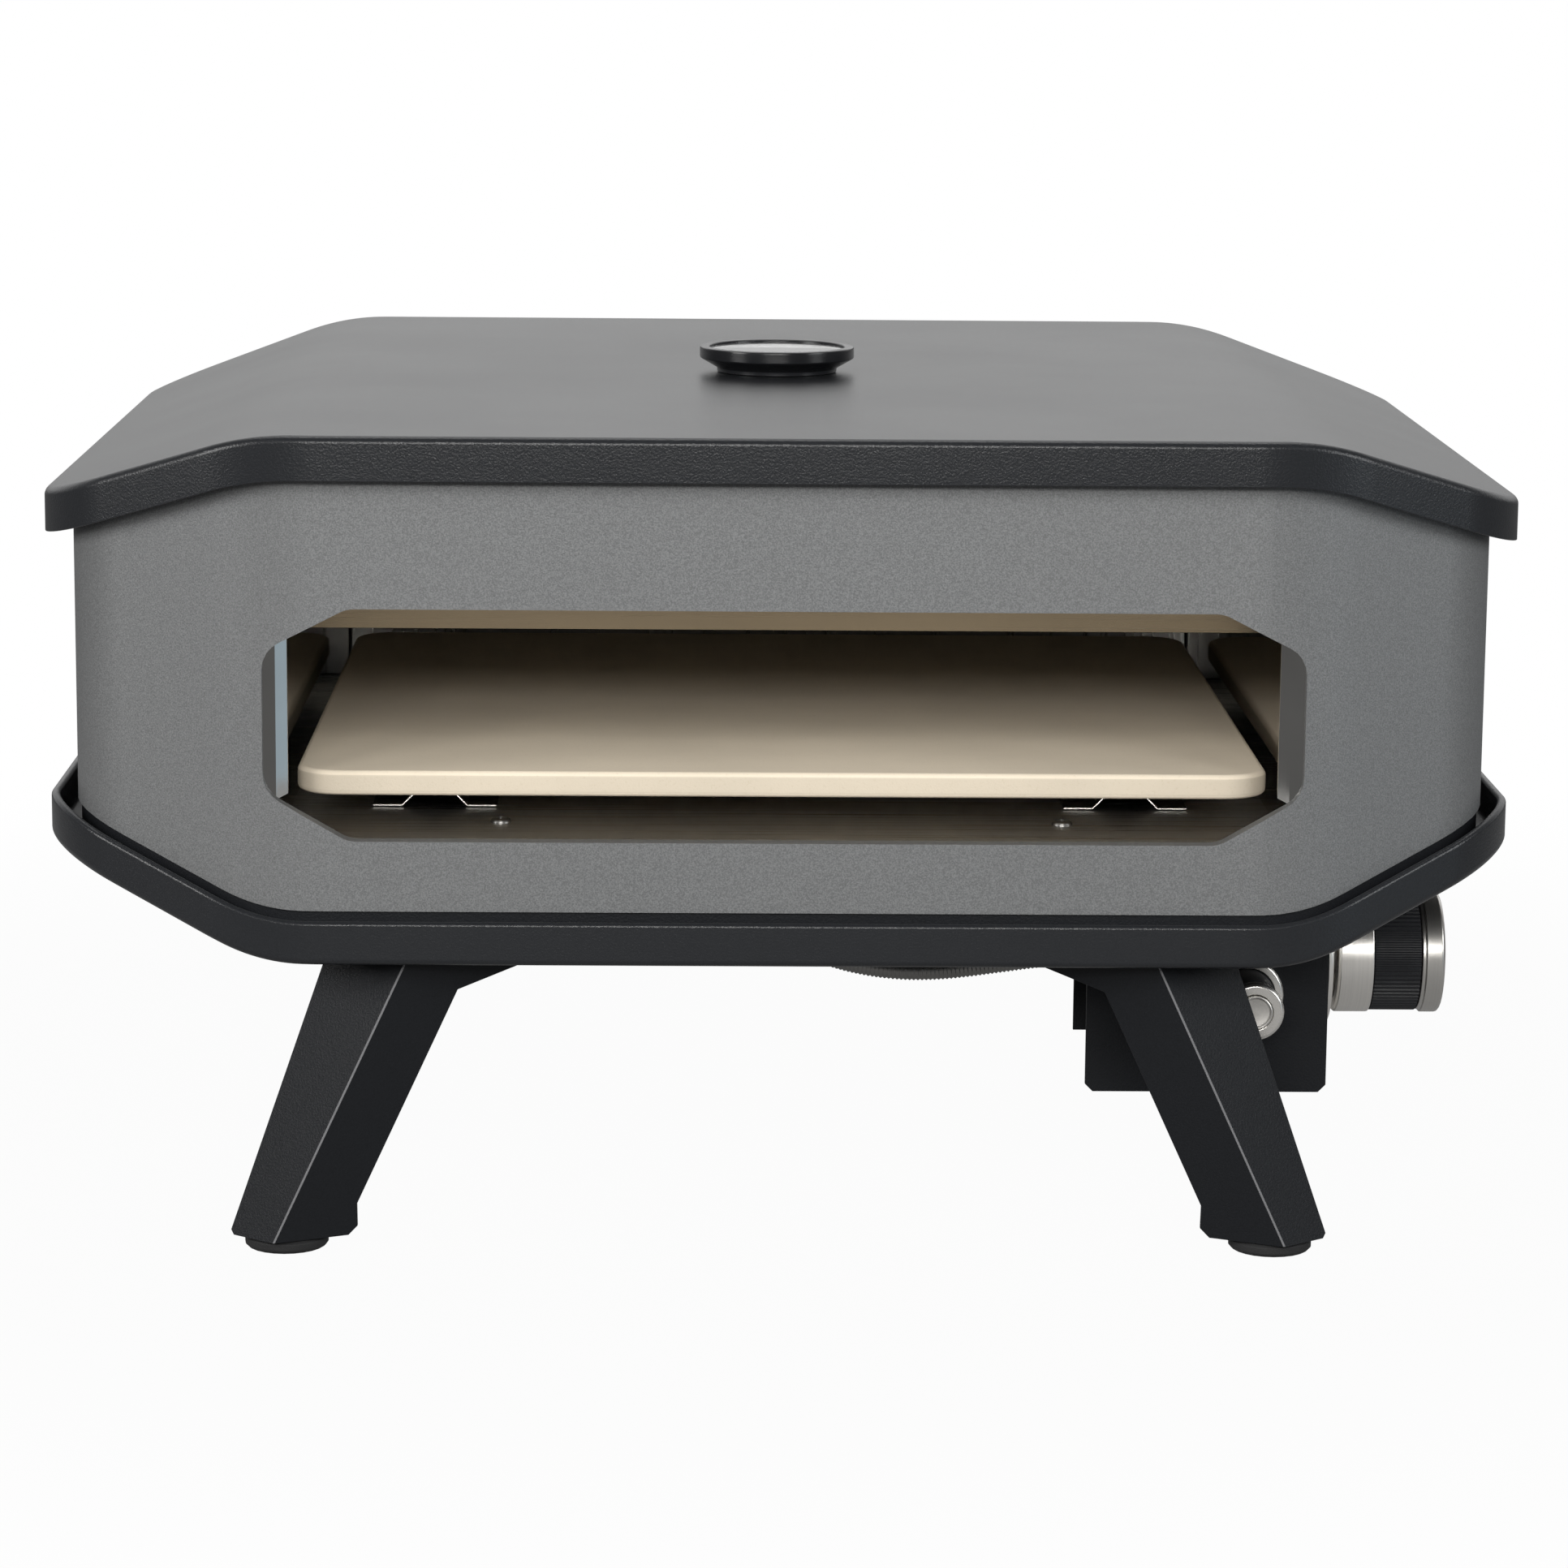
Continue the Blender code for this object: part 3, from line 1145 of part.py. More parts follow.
def make_valve():
    """The valve block, its neck through the plate and its spindle."""
    block = box("gas_valve", (valve_left(), VALVE_Y - VALVE_BODY_WIDTH / 2, VALVE_Z - VALVE_BODY_HEIGHT / 2),
                (valve_right(), VALVE_Y + VALVE_BODY_WIDTH / 2, VALVE_Z + VALVE_BODY_HEIGHT / 2))
    soften(block, 8 * SEAT_GAP, 2)
    block = settle(block)
    neck = cylinder("valve_neck", (valve_right() - BRACKET_SHEET, VALVE_Y, VALVE_Z), "X",
                    2 * BRACKET_SHEET + SEAT_GAP + ESCUTCHEON_HEIGHT / 4, VALVE_NECK_RADIUS,
                    MEDIUM_ROUND_STEPS)
    boolean(block, neck, "UNION")
    block = settle(block)
    bore = cylinder("valve_bore", (valve_right() - 3 * SPINDLE_RADIUS, VALVE_Y, VALVE_Z), "X",
                    12 * SPINDLE_RADIUS, SPINDLE_RADIUS + SEAT_GAP, SMALL_ROUND_STEPS)
    boolean(block, bore, "DIFFERENCE")
    place(settle(block), "brass", math.radians(35))
    inlet = turned("gas_inlet", [(INLET_BORE, INLET_LENGTH), (INLET_RADIUS, INLET_LENGTH),
                                 (INLET_RADIUS, 0), (INLET_BORE, 0)],
                   (valve_middle(), VALVE_Y + VALVE_BODY_WIDTH / 2 + SEAT_GAP, VALVE_Z), "Y",
                   MEDIUM_ROUND_STEPS)
    place(inlet, "brass", math.radians(35))
    hex_nut("inlet_lock_nut", (valve_middle(), BRACKET_BACK + SEAT_GAP, VALVE_Z), "Y", INLET_HEX_LENGTH,
            INLET_HEX_RADIUS, INLET_RADIUS + SEAT_GAP, "brass")


def make_knob():
    """Bezel on the plate, then the knob's base ring, ribbed grip and end cap on the spindle."""
    bezel_x = BRACKET_RIGHT + SEAT_GAP
    height = ESCUTCHEON_HEIGHT
    bezel = turned("knob_bezel", [(ESCUTCHEON_BORE, height), (ESCUTCHEON_RADIUS - height / 2, height),
                                  (ESCUTCHEON_RADIUS - height / 8, height * 3 / 4),
                                  (ESCUTCHEON_RADIUS, height / 4),
                                  (ESCUTCHEON_RADIUS, 0), (ESCUTCHEON_BORE, 0)],
                   (bezel_x, VALVE_Y, VALVE_Z), "X", KNOB_ROUND_STEPS)
    place(bezel, "brushed_nickel", math.radians(35))
    cap_start = KNOB_BASE_LENGTH + KNOB_GRIP_LENGTH
    spindle_start = valve_right() - 2 * SPINDLE_RADIUS
    spindle = cylinder("valve_spindle", (spindle_start, VALVE_Y, VALVE_Z), "X",
                       KNOB_START + KNOB_BASE_LENGTH - spindle_start, SPINDLE_RADIUS, SMALL_ROUND_STEPS)
    place(spindle, "brass", math.radians(35))
    axis_point = (KNOB_START, VALVE_Y, VALVE_Z)
    set_origin(spindle, axis_point)
    edge = KNOB_EDGE_RADIUS
    radius = KNOB_RADIUS
    base = turned("knob_base_ring", [
        (SPINDLE_RADIUS + SEAT_GAP, KNOB_BASE_LENGTH - SEAT_GAP), (radius, KNOB_BASE_LENGTH - SEAT_GAP),
        (radius, edge), (radius - edge, 0), (KNOB_BORE, 0), (KNOB_BORE, KNOB_BASE_LENGTH / 2),
        (KNOB_HUB_RADIUS, KNOB_BASE_LENGTH / 2), (KNOB_HUB_RADIUS, 0), (SPINDLE_RADIUS + SEAT_GAP, 0)],
        axis_point, "X", KNOB_ROUND_STEPS)
    set_origin(place(base, "brushed_nickel", math.radians(35)), axis_point)
    grip = ribbed_disc("knob_grip", KNOB_GRIP_RADIUS, KNOB_RIB_DEPTH, KNOB_RIBS,
                       KNOB_START + KNOB_BASE_LENGTH, KNOB_START + cap_start - SEAT_GAP)
    set_origin(place(grip, "black_plastic"), axis_point)
    length = KNOB_STEP_LENGTH + KNOB_CAP_LENGTH
    cap = turned("knob_end_cap", [(0, length), (radius - edge, length), (radius, length - edge),
                                  (radius, KNOB_STEP_LENGTH), (radius - edge, KNOB_STEP_LENGTH),
                                  (radius - edge, 0), (0, 0)],
                 (KNOB_START + cap_start, VALVE_Y, VALVE_Z), "X", KNOB_ROUND_STEPS)
    set_origin(place(cap, "brushed_nickel", math.radians(35)), axis_point)


def ribbed_disc(name, radius, depth, ribs, low_x, high_x):
    """A disc with fine straight ribs round its edge, along X."""
    outline = []
    for index in range(2 * ribs):
        angle = math.pi * index / ribs
        reach = radius if index % 2 == 0 else radius - depth
        outline.append((VALVE_Y + reach * math.cos(angle), VALVE_Z + reach * math.sin(angle)))
    return side_solid(name, outline, low_x, high_x)


def make_igniter():
    """Push-button spark igniter: body behind the plate, barrel and bezel in front, button inside."""
    plate_y = BRACKET_FRONT
    centre = Vector((IGNITER_X, plate_y, IGNITER_Z))
    button_bore = IGNITER_BUTTON_RADIUS + SEAT_GAP
    front = IGNITER_BASE_LENGTH + IGNITER_BARREL_LENGTH
    well = front - IGNITER_BUTTON_LENGTH - IGNITER_TRAVEL + IGNITER_BUTTON_PROUD
    base_radius = IGNITER_BASE_RADIUS
    barrel = turned("igniter_barrel", [
        (button_bore, front), (IGNITER_BARREL_RADIUS, front),
        (IGNITER_BARREL_RADIUS, IGNITER_BASE_LENGTH + SEAT_GAP),
        (IGNITER_BARREL_RADIUS, 0), (IGNITER_BODY_RADIUS, 0), (IGNITER_BODY_RADIUS, -IGNITER_BODY_LENGTH),
        (0, -IGNITER_BODY_LENGTH), (0, well), (button_bore, well)],
        centre - Vector((0, SEAT_GAP, 0)), "-Y", ROUND_STEPS)
    place(barrel, "black_plastic", math.radians(35))
    ring = turned("igniter_base_ring", [
        (IGNITER_BARREL_RADIUS + SEAT_GAP, IGNITER_BASE_LENGTH),
        (base_radius - KNOB_EDGE_RADIUS, IGNITER_BASE_LENGTH),
        (base_radius, IGNITER_BASE_LENGTH - KNOB_EDGE_RADIUS), (base_radius, 0),
        (IGNITER_BARREL_RADIUS + SEAT_GAP, 0)], centre - Vector((0, SEAT_GAP, 0)), "-Y", ROUND_STEPS)
    place(ring, "brushed_nickel", math.radians(35))
    length = IGNITER_BEZEL_LENGTH
    radius = IGNITER_BEZEL_RADIUS
    bezel = turned("igniter_bezel", [
        (button_bore, length), (radius - KNOB_EDGE_RADIUS, length), (radius, length - KNOB_EDGE_RADIUS),
        (radius, 0), (button_bore, 0)], centre - Vector((0, 2 * SEAT_GAP + front, 0)), "-Y", ROUND_STEPS)
    place(bezel, "brushed_nickel", math.radians(35))
    tip = front + length + 2 * SEAT_GAP + IGNITER_BUTTON_PROUD
    button = turned("igniter_button", [
        (0, IGNITER_BUTTON_LENGTH + length - KNOB_EDGE_RADIUS / 2),
        (IGNITER_BUTTON_RADIUS * 2 / 3, IGNITER_BUTTON_LENGTH + length - KNOB_EDGE_RADIUS / 2),
        (IGNITER_BUTTON_RADIUS - KNOB_EDGE_RADIUS / 2, IGNITER_BUTTON_LENGTH + length),
        (IGNITER_BUTTON_RADIUS, IGNITER_BUTTON_LENGTH + length - KNOB_EDGE_RADIUS / 2),
        (IGNITER_BUTTON_RADIUS, 0), (0, 0)],
        centre - Vector((0, tip - IGNITER_BUTTON_LENGTH - length, 0)), "-Y", ROUND_STEPS)
    set_origin(place(button, "brushed_nickel", math.radians(35)), centre)
    hex_nut("igniter_nut", centre + Vector((0, BRACKET_SHEET + SEAT_GAP, 0)), "Y", IGNITER_NUT_LENGTH,
            IGNITER_NUT_RADIUS, IGNITER_BODY_RADIUS + SEAT_GAP, "black_plastic")


def hose_points():
    """The hose's own route: out of the valve, a low swing to the left, then back to the jet."""
    start_x = valve_left() - SEAT_GAP - NUT_LENGTH - SEAT_GAP
    end_y = mixer_route()[-1][1] - 2 * JET_CARRIER - OVERRUN - SEAT_GAP - NUT_LENGTH - SEAT_GAP
    end_z = mixer_route()[-1][2]
    lead = 2.5 * HOSE_RADIUS
    swing = [(x_share * start_x, VALVE_Y + y_share * (end_y - VALVE_Y), TRAY_BOTTOM - drop)
             for (x_share, y_share), drop in zip(HOSE_ROUTE_SHARES, HOSE_DROPS)]
    return [
        (start_x, VALVE_Y, VALVE_Z),
        (start_x - lead, VALVE_Y, VALVE_Z),
        (start_x - 2 * lead, VALVE_Y, VALVE_Z),
        *swing,
        (0, end_y - 2 * lead, end_z),
        (0, end_y - lead, end_z),
        (0, end_y, end_z),
    ]


def make_hose():
    """A ribbed metal hose with its bore: every rib is two points of unlike radius."""
    points = hose_points()
    route = smooth_route(points, HOSE_RIB_PITCH / 2)
    plain = 2 * HOSE_RADIUS
    length = (len(route) - 1) * HOSE_RIB_PITCH / 2
    radii = []
    for index in range(len(route)):
        along = index * HOSE_RIB_PITCH / 2
        if along < plain or along > length - plain:
            radii.append(HOSE_ROOT_RADIUS)
        else:
            radii.append(HOSE_RADIUS if index % 2 else HOSE_ROOT_RADIUS)
    skin = tube("hose_skin", route, HOSE_RADIUS, 2, radii, capped=False)
    inner_route = route[::HOSE_BORE_STRIDE]
    if inner_route[-1] != route[-1]:
        inner_route[-1] = route[-1]
    bore = tube("hose_bore", inner_route, HOSE_BORE_RADIUS, 2, capped=False)
    place(lined_tube("gas_hose", skin, bore), "stainless", math.radians(50))
    nut_start = Vector(points[0]) + Vector((SEAT_GAP, 0, 0))
    hex_nut("hose_nut_valve", nut_start, "X", NUT_LENGTH, NUT_RADIUS, HOSE_BORE_RADIUS, "brass")
    nut_start = Vector(points[-1]) + Vector((0, SEAT_GAP, 0))
    hex_nut("hose_nut_jet", nut_start, "Y", NUT_LENGTH, NUT_RADIUS, HOSE_BORE_RADIUS, "brass")


def make_thermometer():
    """Dial thermometer on the lid: case, dial, needle, glass, threaded neck, probe and nut."""
    top = LID_TOP + SEAT_GAP
    case_height = GAUGE_BASE_HEIGHT + GAUGE_TAPER_HEIGHT + GAUGE_BEZEL_HEIGHT
    well = GAUGE_BEZEL_RADIUS - GAUGE_RIM_WIDTH
    taper = GAUGE_BASE_HEIGHT + GAUGE_TAPER_HEIGHT
    floor = GAUGE_BASE_HEIGHT + GAUGE_FLOOR
    round_edge = GAUGE_RIM_WIDTH / 4
    case = turned("thermometer_case", [
        (well, case_height - round_edge), (well + round_edge, case_height),
        (GAUGE_BEZEL_RADIUS - round_edge, case_height), (GAUGE_BEZEL_RADIUS, case_height - round_edge),
        (GAUGE_BEZEL_RADIUS, taper), (GAUGE_BASE_RADIUS, GAUGE_BASE_HEIGHT), (GAUGE_BASE_RADIUS, 0),
        (GAUGE_THREAD_RADIUS, 0), (GAUGE_THREAD_RADIUS, -GAUGE_THREAD_LENGTH),
        (0, -GAUGE_THREAD_LENGTH), (0, floor), (well, floor)], (0, 0, top), "Z", GAUGE_ROUND_STEPS)
    place(case, "satin_black", math.radians(35))
    dial_z = top + floor + SEAT_GAP
    dial = turned("thermometer_dial", [
        (0, GAUGE_DIAL_HEIGHT), (well - SEAT_GAP, GAUGE_DIAL_HEIGHT), (well - SEAT_GAP, 0), (0, 0)],
        (0, 0, dial_z), "Z", GAUGE_ROUND_STEPS)
    place(dial, "white_dial", math.radians(35))
    needle_z = dial_z + GAUGE_DIAL_HEIGHT + SEAT_GAP
    make_needle(needle_z)
    glass_z = top + case_height - GAUGE_GLASS_SEAT - GAUGE_GLASS_HEIGHT
    glass = turned("thermometer_glass", [
        (0, GAUGE_GLASS_HEIGHT), (well - SEAT_GAP, GAUGE_GLASS_HEIGHT), (well - SEAT_GAP, 0), (0, 0)],
        (0, 0, glass_z), "Z", GAUGE_ROUND_STEPS)
    place(glass, "clear_glass", math.radians(35))
    probe = cylinder("thermometer_probe",
                     (0, 0, top - GAUGE_THREAD_LENGTH - SEAT_GAP - GAUGE_PROBE_LENGTH), "Z",
                     GAUGE_PROBE_LENGTH, GAUGE_PROBE_RADIUS, SMALL_ROUND_STEPS)
    place(probe, "stainless", math.radians(35))
    hex_nut("thermometer_nut", (0, 0, LID_TOP - PAN_SHEET - SEAT_GAP - GAUGE_NUT_LENGTH), "Z",
            GAUGE_NUT_LENGTH, GAUGE_NUT_RADIUS, GAUGE_THREAD_RADIUS + SEAT_GAP, "stainless")


def make_needle(low):
    """A pointer with a hub; it rests toward the lower left of the dial."""
    half = GAUGE_NEEDLE_WIDTH / 2
    outline = [(-GAUGE_NEEDLE_TAIL, -half), (GAUGE_NEEDLE_LENGTH - GAUGE_NEEDLE_WIDTH, -half / 2),
               (GAUGE_NEEDLE_LENGTH, 0), (GAUGE_NEEDLE_LENGTH - GAUGE_NEEDLE_WIDTH, half / 2),
               (-GAUGE_NEEDLE_TAIL, half)]
    needle = outline_solid("thermometer_needle", outline, low, low + GAUGE_NEEDLE_HEIGHT)
    hub = cylinder("needle_hub", (0, 0, low), "Z", 2 * GAUGE_NEEDLE_HEIGHT, GAUGE_HUB_RADIUS,
                   SMALL_ROUND_STEPS)
    boolean(needle, hub, "UNION")
    needle = settle(needle)
    needle.data.transform(Matrix.Rotation(GAUGE_NEEDLE_REST, 4, "Z"))
    set_origin(place(needle, "red_needle"), (0, 0, low))


def leg_plan():
    """The V section of the leg at its foot: ridge to the front, the two flanges swept back."""
    outer_run = 2 * (LEG_RIDGE_FOOT_X - LEG_GUSSET_X)
    inner_run = outer_run
    ridge = Vector((-LEG_RIDGE_FOOT_X, LEG_RIDGE_Y))
    outer = ridge + Vector((-math.cos(LEG_OUTER_ANGLE), math.sin(LEG_OUTER_ANGLE))) * outer_run
    inner = ridge + Vector((math.cos(LEG_INNER_ANGLE), math.sin(LEG_INNER_ANGLE))) * inner_run
    return outer, ridge, inner


def leg_face():
    """The leg's outline seen from the front: lean column, toe, knee and gusset."""
    top = TRAY_BOTTOM - SEAT_GAP
    height = top - LEG_FOOT_Z
    corners = [(-LEG_OUTER_FOOT_X + LEG_OUTER_LEAN * LEG_HEEL_CUT, LEG_FOOT_Z + LEG_HEEL_CUT),
               (-LEG_OUTER_FOOT_X + LEG_HEEL_CUT, LEG_FOOT_Z),
               (-LEG_INNER_FOOT_X - LEG_TOE_CUT, LEG_FOOT_Z),
               (-LEG_INNER_FOOT_X, LEG_FOOT_Z + LEG_TOE_CUT), (-LEG_INNER_FOOT_X, LEG_TOE_Z),
               (-LEG_KNEE_X, LEG_KNEE_Z), (-LEG_GUSSET_X, top),
               (-LEG_OUTER_FOOT_X + LEG_OUTER_LEAN * height, top)]
    return corners


def make_leg_mesh():
    outer, ridge, inner = leg_plan()
    top = TRAY_BOTTOM - SEAT_GAP
    height = top - LEG_FOOT_Z
    mesh = bpy.data.meshes.new("leg")
    shift = Vector((LEG_RIDGE_LEAN * height, 0, height))
    low = [Vector((point.x, point.y, LEG_FOOT_Z)) for point in (outer, ridge, inner)]
    high = [point + shift for point in low]
    mesh.from_pydata(low + high, [], [(0, 1, 4, 3), (1, 2, 5, 4)])
    sheet = mesh_object("leg_blank", mesh)
    solidify = sheet.modifiers.new("sheet", "SOLIDIFY")
    solidify.thickness = LEG_SHEET
    solidify.offset = -1
    solidify.use_even_offset = True
    sheet = settle(sheet)
    tabs = leg_tab("top_tab", top - LEG_SHEET, top, LEG_RIDGE_LEAN * height)
    boolean(sheet, tabs, "UNION")
    foot_tab = leg_tab("foot_tab", LEG_FOOT_Z, LEG_FOOT_Z + LEG_SHEET, 0.0)
    boolean(sheet, foot_tab, "UNION")
    sheet = settle(sheet)
    face = front_solid("leg_face", leg_face(), LEG_RIDGE_Y - OVERRUN, LEG_RIDGE_Y + 3 * LEG_TAB_DEPTH)
    boolean(sheet, face, "INTERSECT")
    plug_hole = cylinder("foot_plug_hole", (-FOOT_X, FOOT_Y, LEG_FOOT_Z - OVERRUN), "Z",
                         LEG_SHEET + 2 * OVERRUN, FOOT_PLUG_RADIUS + SEAT_GAP, SMALL_ROUND_STEPS)
    boolean(sheet, plug_hole, "DIFFERENCE")
    solid = settle(sheet)
    leg_mesh = solid.data
    bpy.data.objects.remove(solid, do_unlink=True)
    return leg_mesh


def leg_tab(name, low, high, shift):
    """A level tab that fills the V between the flanges."""
    outer, ridge, inner = leg_plan()
    inset = LEG_SHEET / 2
    back = LEG_RIDGE_Y + LEG_TAB_DEPTH
    tan_outer = math.tan(LEG_OUTER_ANGLE)
    tan_inner = math.tan(LEG_INNER_ANGLE)
    apex = (ridge.x + shift, LEG_RIDGE_Y + inset)
    reach = LEG_TAB_DEPTH - inset
    corners = [apex, (apex[0] + reach / tan_inner, back), (apex[0] - reach / tan_outer, back)]
    return outline_solid(name, corners, low, high)


def make_legs():
    source = make_leg_mesh()
    for name, x_sign, y_sign in (("leg_front_left", 1, 1), ("leg_front_right", -1, 1),
                                 ("leg_rear_left", 1, -1), ("leg_rear_right", -1, -1)):
        mesh = source.copy()
        mesh.transform(Matrix.Diagonal((x_sign, y_sign, 1, 1)))
        if x_sign * y_sign < 0:
            mesh.flip_normals()
        place(mesh_object(name, mesh), "satin_black")
        foot_name = name.replace("leg", "foot")
        foot = turned(foot_name, [
            (0, LEG_FOOT_Z + LEG_SHEET + FOOT_PLUG_LENGTH),
            (FOOT_PLUG_RADIUS, LEG_FOOT_Z + LEG_SHEET + FOOT_PLUG_LENGTH),
            (FOOT_PLUG_RADIUS, LEG_FOOT_Z - SEAT_GAP), (FOOT_TOP_RADIUS, LEG_FOOT_Z - SEAT_GAP),
            (FOOT_RADIUS, LEG_FOOT_Z - SEAT_GAP - FOOT_ROUND), (FOOT_RADIUS, FOOT_ROUND),
            (FOOT_RADIUS - FOOT_ROUND, 0), (0, 0)],
            (-x_sign * FOOT_X, y_sign * FOOT_Y, 0), "Z", MEDIUM_ROUND_STEPS)
        place(foot, "rubber", math.radians(35))


def main():
    clear_scene()
    make_collections()
    make_lid()
    make_tray()
    make_front_panel()
    make_side_panels()
    make_rear_panel()
    make_base_frame()
    make_chamber_floor()
    make_chamber_walls()
    make_chamber_ends()
    make_flame_guard()
    make_stone_rests()
    make_stone()
    make_burner()
    make_mixer()
    make_probe("spark_electrode", ELECTRODE_X, "ceramic")
    make_probe("flame_sensor", SENSOR_X, "stainless")
    make_control_bracket()
    make_valve()
    make_knob()
    make_igniter()
    make_hose()
    make_thermometer()
    make_legs()


main()
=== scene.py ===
"""Looks of the portable gas pizza oven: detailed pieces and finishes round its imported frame.

Run as a script. Each group of pieces is one operator, and main() calls them in order.
Lengths are in metres and colours are linear.
"""

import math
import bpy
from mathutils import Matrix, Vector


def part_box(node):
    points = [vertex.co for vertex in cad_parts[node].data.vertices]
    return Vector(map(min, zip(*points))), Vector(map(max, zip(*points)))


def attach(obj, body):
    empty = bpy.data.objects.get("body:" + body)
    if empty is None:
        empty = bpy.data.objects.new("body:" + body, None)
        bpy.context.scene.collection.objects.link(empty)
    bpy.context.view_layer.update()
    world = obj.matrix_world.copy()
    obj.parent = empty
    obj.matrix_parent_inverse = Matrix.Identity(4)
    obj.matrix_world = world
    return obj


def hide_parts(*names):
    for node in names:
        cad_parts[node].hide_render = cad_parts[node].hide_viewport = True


bl_info = {
    "name": "Portable Pizza Oven",
    "version": (1, 0, 0),
    "blender": (4, 5, 0),
    "location": "View3D > Sidebar > Pizza Oven",
    "description": "Dresses the frame of a portable gas pizza oven",
    "category": "Object",
}

import bmesh
import bpy
from bpy.props import FloatProperty, FloatVectorProperty, IntProperty, PointerProperty
from mathutils import Matrix, Vector

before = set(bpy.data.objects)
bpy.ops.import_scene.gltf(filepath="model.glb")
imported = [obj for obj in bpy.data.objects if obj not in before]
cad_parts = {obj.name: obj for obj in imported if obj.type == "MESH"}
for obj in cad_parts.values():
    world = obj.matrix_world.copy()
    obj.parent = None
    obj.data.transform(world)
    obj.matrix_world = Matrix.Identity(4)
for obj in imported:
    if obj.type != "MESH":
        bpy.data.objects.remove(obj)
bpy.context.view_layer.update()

# Plan of the lid and of the tray, the same as the frame's
CHAMFER = (0.0988, 0.0609)
SIDE_CORNER_RADIUS = 0.065
FRONT_CORNER_RADIUS = 0.100
LID_RIM = 0.0193
LID_WING = {"start": 0.2294, "slope": 0.341, "radius": 0.121}
TRAY_RIM = 0.0193
TRAY_WING = {"start": 0.2267, "slope": 0.403, "radius": 0.095}
PAN_SHEET = 0.0015

# Photograph and camera
PHOTO_SIZE = 1932
FOCAL_PIXELS = 5950
SENSOR = 36.0
CAMERA_PLACE = (-0.0393, -2.3362, 0.5925)
CAMERA_YAW = 0.01905
CAMERA_PITCH = 0.18175
CAMERA_ROLL = 0.00859

# Studio. A lamp has a name, a place, a size, a power in watts, a colour, and whether glossy surfaces mirror it.
# The high one and the two beside it are not mirrored, which keeps their white patches off the lid from behind.
WARM = (1.0, 0.99, 0.97)
COOL = (0.97, 0.99, 1.0)
LAMPS = (
    ("key_light", (-0.1, -2.9, 0.99), (1.6, 0.27), 35, WARM, True),
    ("high_light", (-0.1, -2.9, 1.56), (1.6, 0.85), 30, WARM, False),
    ("left_light", (-1.6, -2.4, 1.35), (0.9, 0.9), 30, WARM, False),
    ("right_light", (1.6, -2.4, 1.35), (0.9, 0.9), 21, COOL, False),
    ("left_panel", (-2.1, -1.2, 0.95), (0.8, 0.9), 24, (1.0, 0.99, 0.98), True),
    ("right_panel", (2.1, -1.2, 0.95), (0.8, 0.9), 16, COOL, True),
    ("low_panel", (1.27, -0.86, 0.06), (0.5, 0.5), 0.38, (0.62, 0.84, 1.0), True),
    ("top_light", (0.0, 0.4, 2.4), (2.2, 1.2), 20, (1.0, 1.0, 1.0), True),
)
LAMP_TARGET = Vector((0, 0, 0.22))
FLOOR_RADIUS = 1.1
FLOOR_WHITE = (0.15, 0.15, 0.15)
FLOOR_FADE = (0.4, 0.95)  # where the floor turns into the backdrop, as shares of its radius
FLOOR_GLOW = (0.965, 1.0)  # how much of it glows by itself, at the fade's start and end
FLOOR_MIRRORED_GLOW = 0.18
AMBIENT_LEVEL = 0.20
ROOM_LEVEL = 0.14
WHITE_BEHIND = (0.25, 0.80)  # the reflected world turns white between these directions along Y
WHITE_ABOVE = (-0.04, 0.16)  # and between these along Z

TINY = 0.00001
SEAM = 0.0003

# Small fittings and edges that the frame leaves open
TURNED_EDGE = 0.0005
RUBBER_EDGE = 0.0004
FLOOR_SCREW = {"x": 0.1248, "y": -0.227, "top": 0.187, "radius": 0.0046}
PANEL_SCREW_RADIUS = 0.0038
REAR_SCREW = {"x": 0.195, "heights": (0.176, 0.332)}
SIDE_SCREW = {"y": 0.125, "z": 0.225}
FLANGE_FOLD_DEPTH = 0.0095
POLISHED_DEPTH = 0.0155
CASE_HEIGHT = 0.0122

# How faces and edges are told apart by their place, size and facing
TALL_EDGE = 0.03
FOLD_ANGLE = 0.2  # radians
CORNER_ANGLE = 1.0
LEVEL_FACING = 0.95  # a level face points up or down at least so squarely
STONE_SIDE_FACING = 0.45  # the stone's side faces point up or down less than this
RIDGE_FACING = 0.96  # a leg's ridge faces front or back at least so squarely
RIDGE_FACE_AREA = 0.0002

# The gas hose's route, the same as the frame's, from the valve to the jet
HOSE_ROUTE = (
    (0.1906, -0.1400, 0.1110), (0.1753, -0.1400, 0.1112), (0.1617, -0.1400, 0.1107), (0.1465, -0.1401, 0.1097),
    (0.1329, -0.1401, 0.1086), (0.1177, -0.1400, 0.1070), (0.1043, -0.1399, 0.1048), (0.0893, -0.1397, 0.1020),
    (0.0742, -0.1390, 0.0997), (0.0607, -0.1374, 0.0991), (0.0456, -0.1353, 0.1003), (0.0325, -0.1325, 0.1023),
    (0.0188, -0.1265, 0.1052), (0.0095, -0.1170, 0.1080), (0.0034, -0.1035, 0.1113), (0.0001, -0.0904, 0.1133),
    (-0.0025, -0.0754, 0.1149), (-0.0040, -0.0603, 0.1163), (-0.0049, -0.0468, 0.1170), (-0.0056, -0.0315, 0.1171),
    (-0.0059, -0.0179, 0.1160), (-0.0058, -0.0029, 0.1131), (-0.0054, 0.0102, 0.1095), (-0.0046, 0.0247, 0.1049),
    (-0.0037, 0.0393, 0.1003), (-0.0029, 0.0524, 0.0968), (-0.0021, 0.0673, 0.0936), (-0.0012, 0.0806, 0.0910),
    (-0.0003, 0.0957, 0.0885), (0.0002, 0.1092, 0.0873), (0.0000, 0.1244, 0.0878),
)
HOSE_RADIUS = 0.0048
HOSE_ROOT = 0.0041
RIB_POINTS = 4


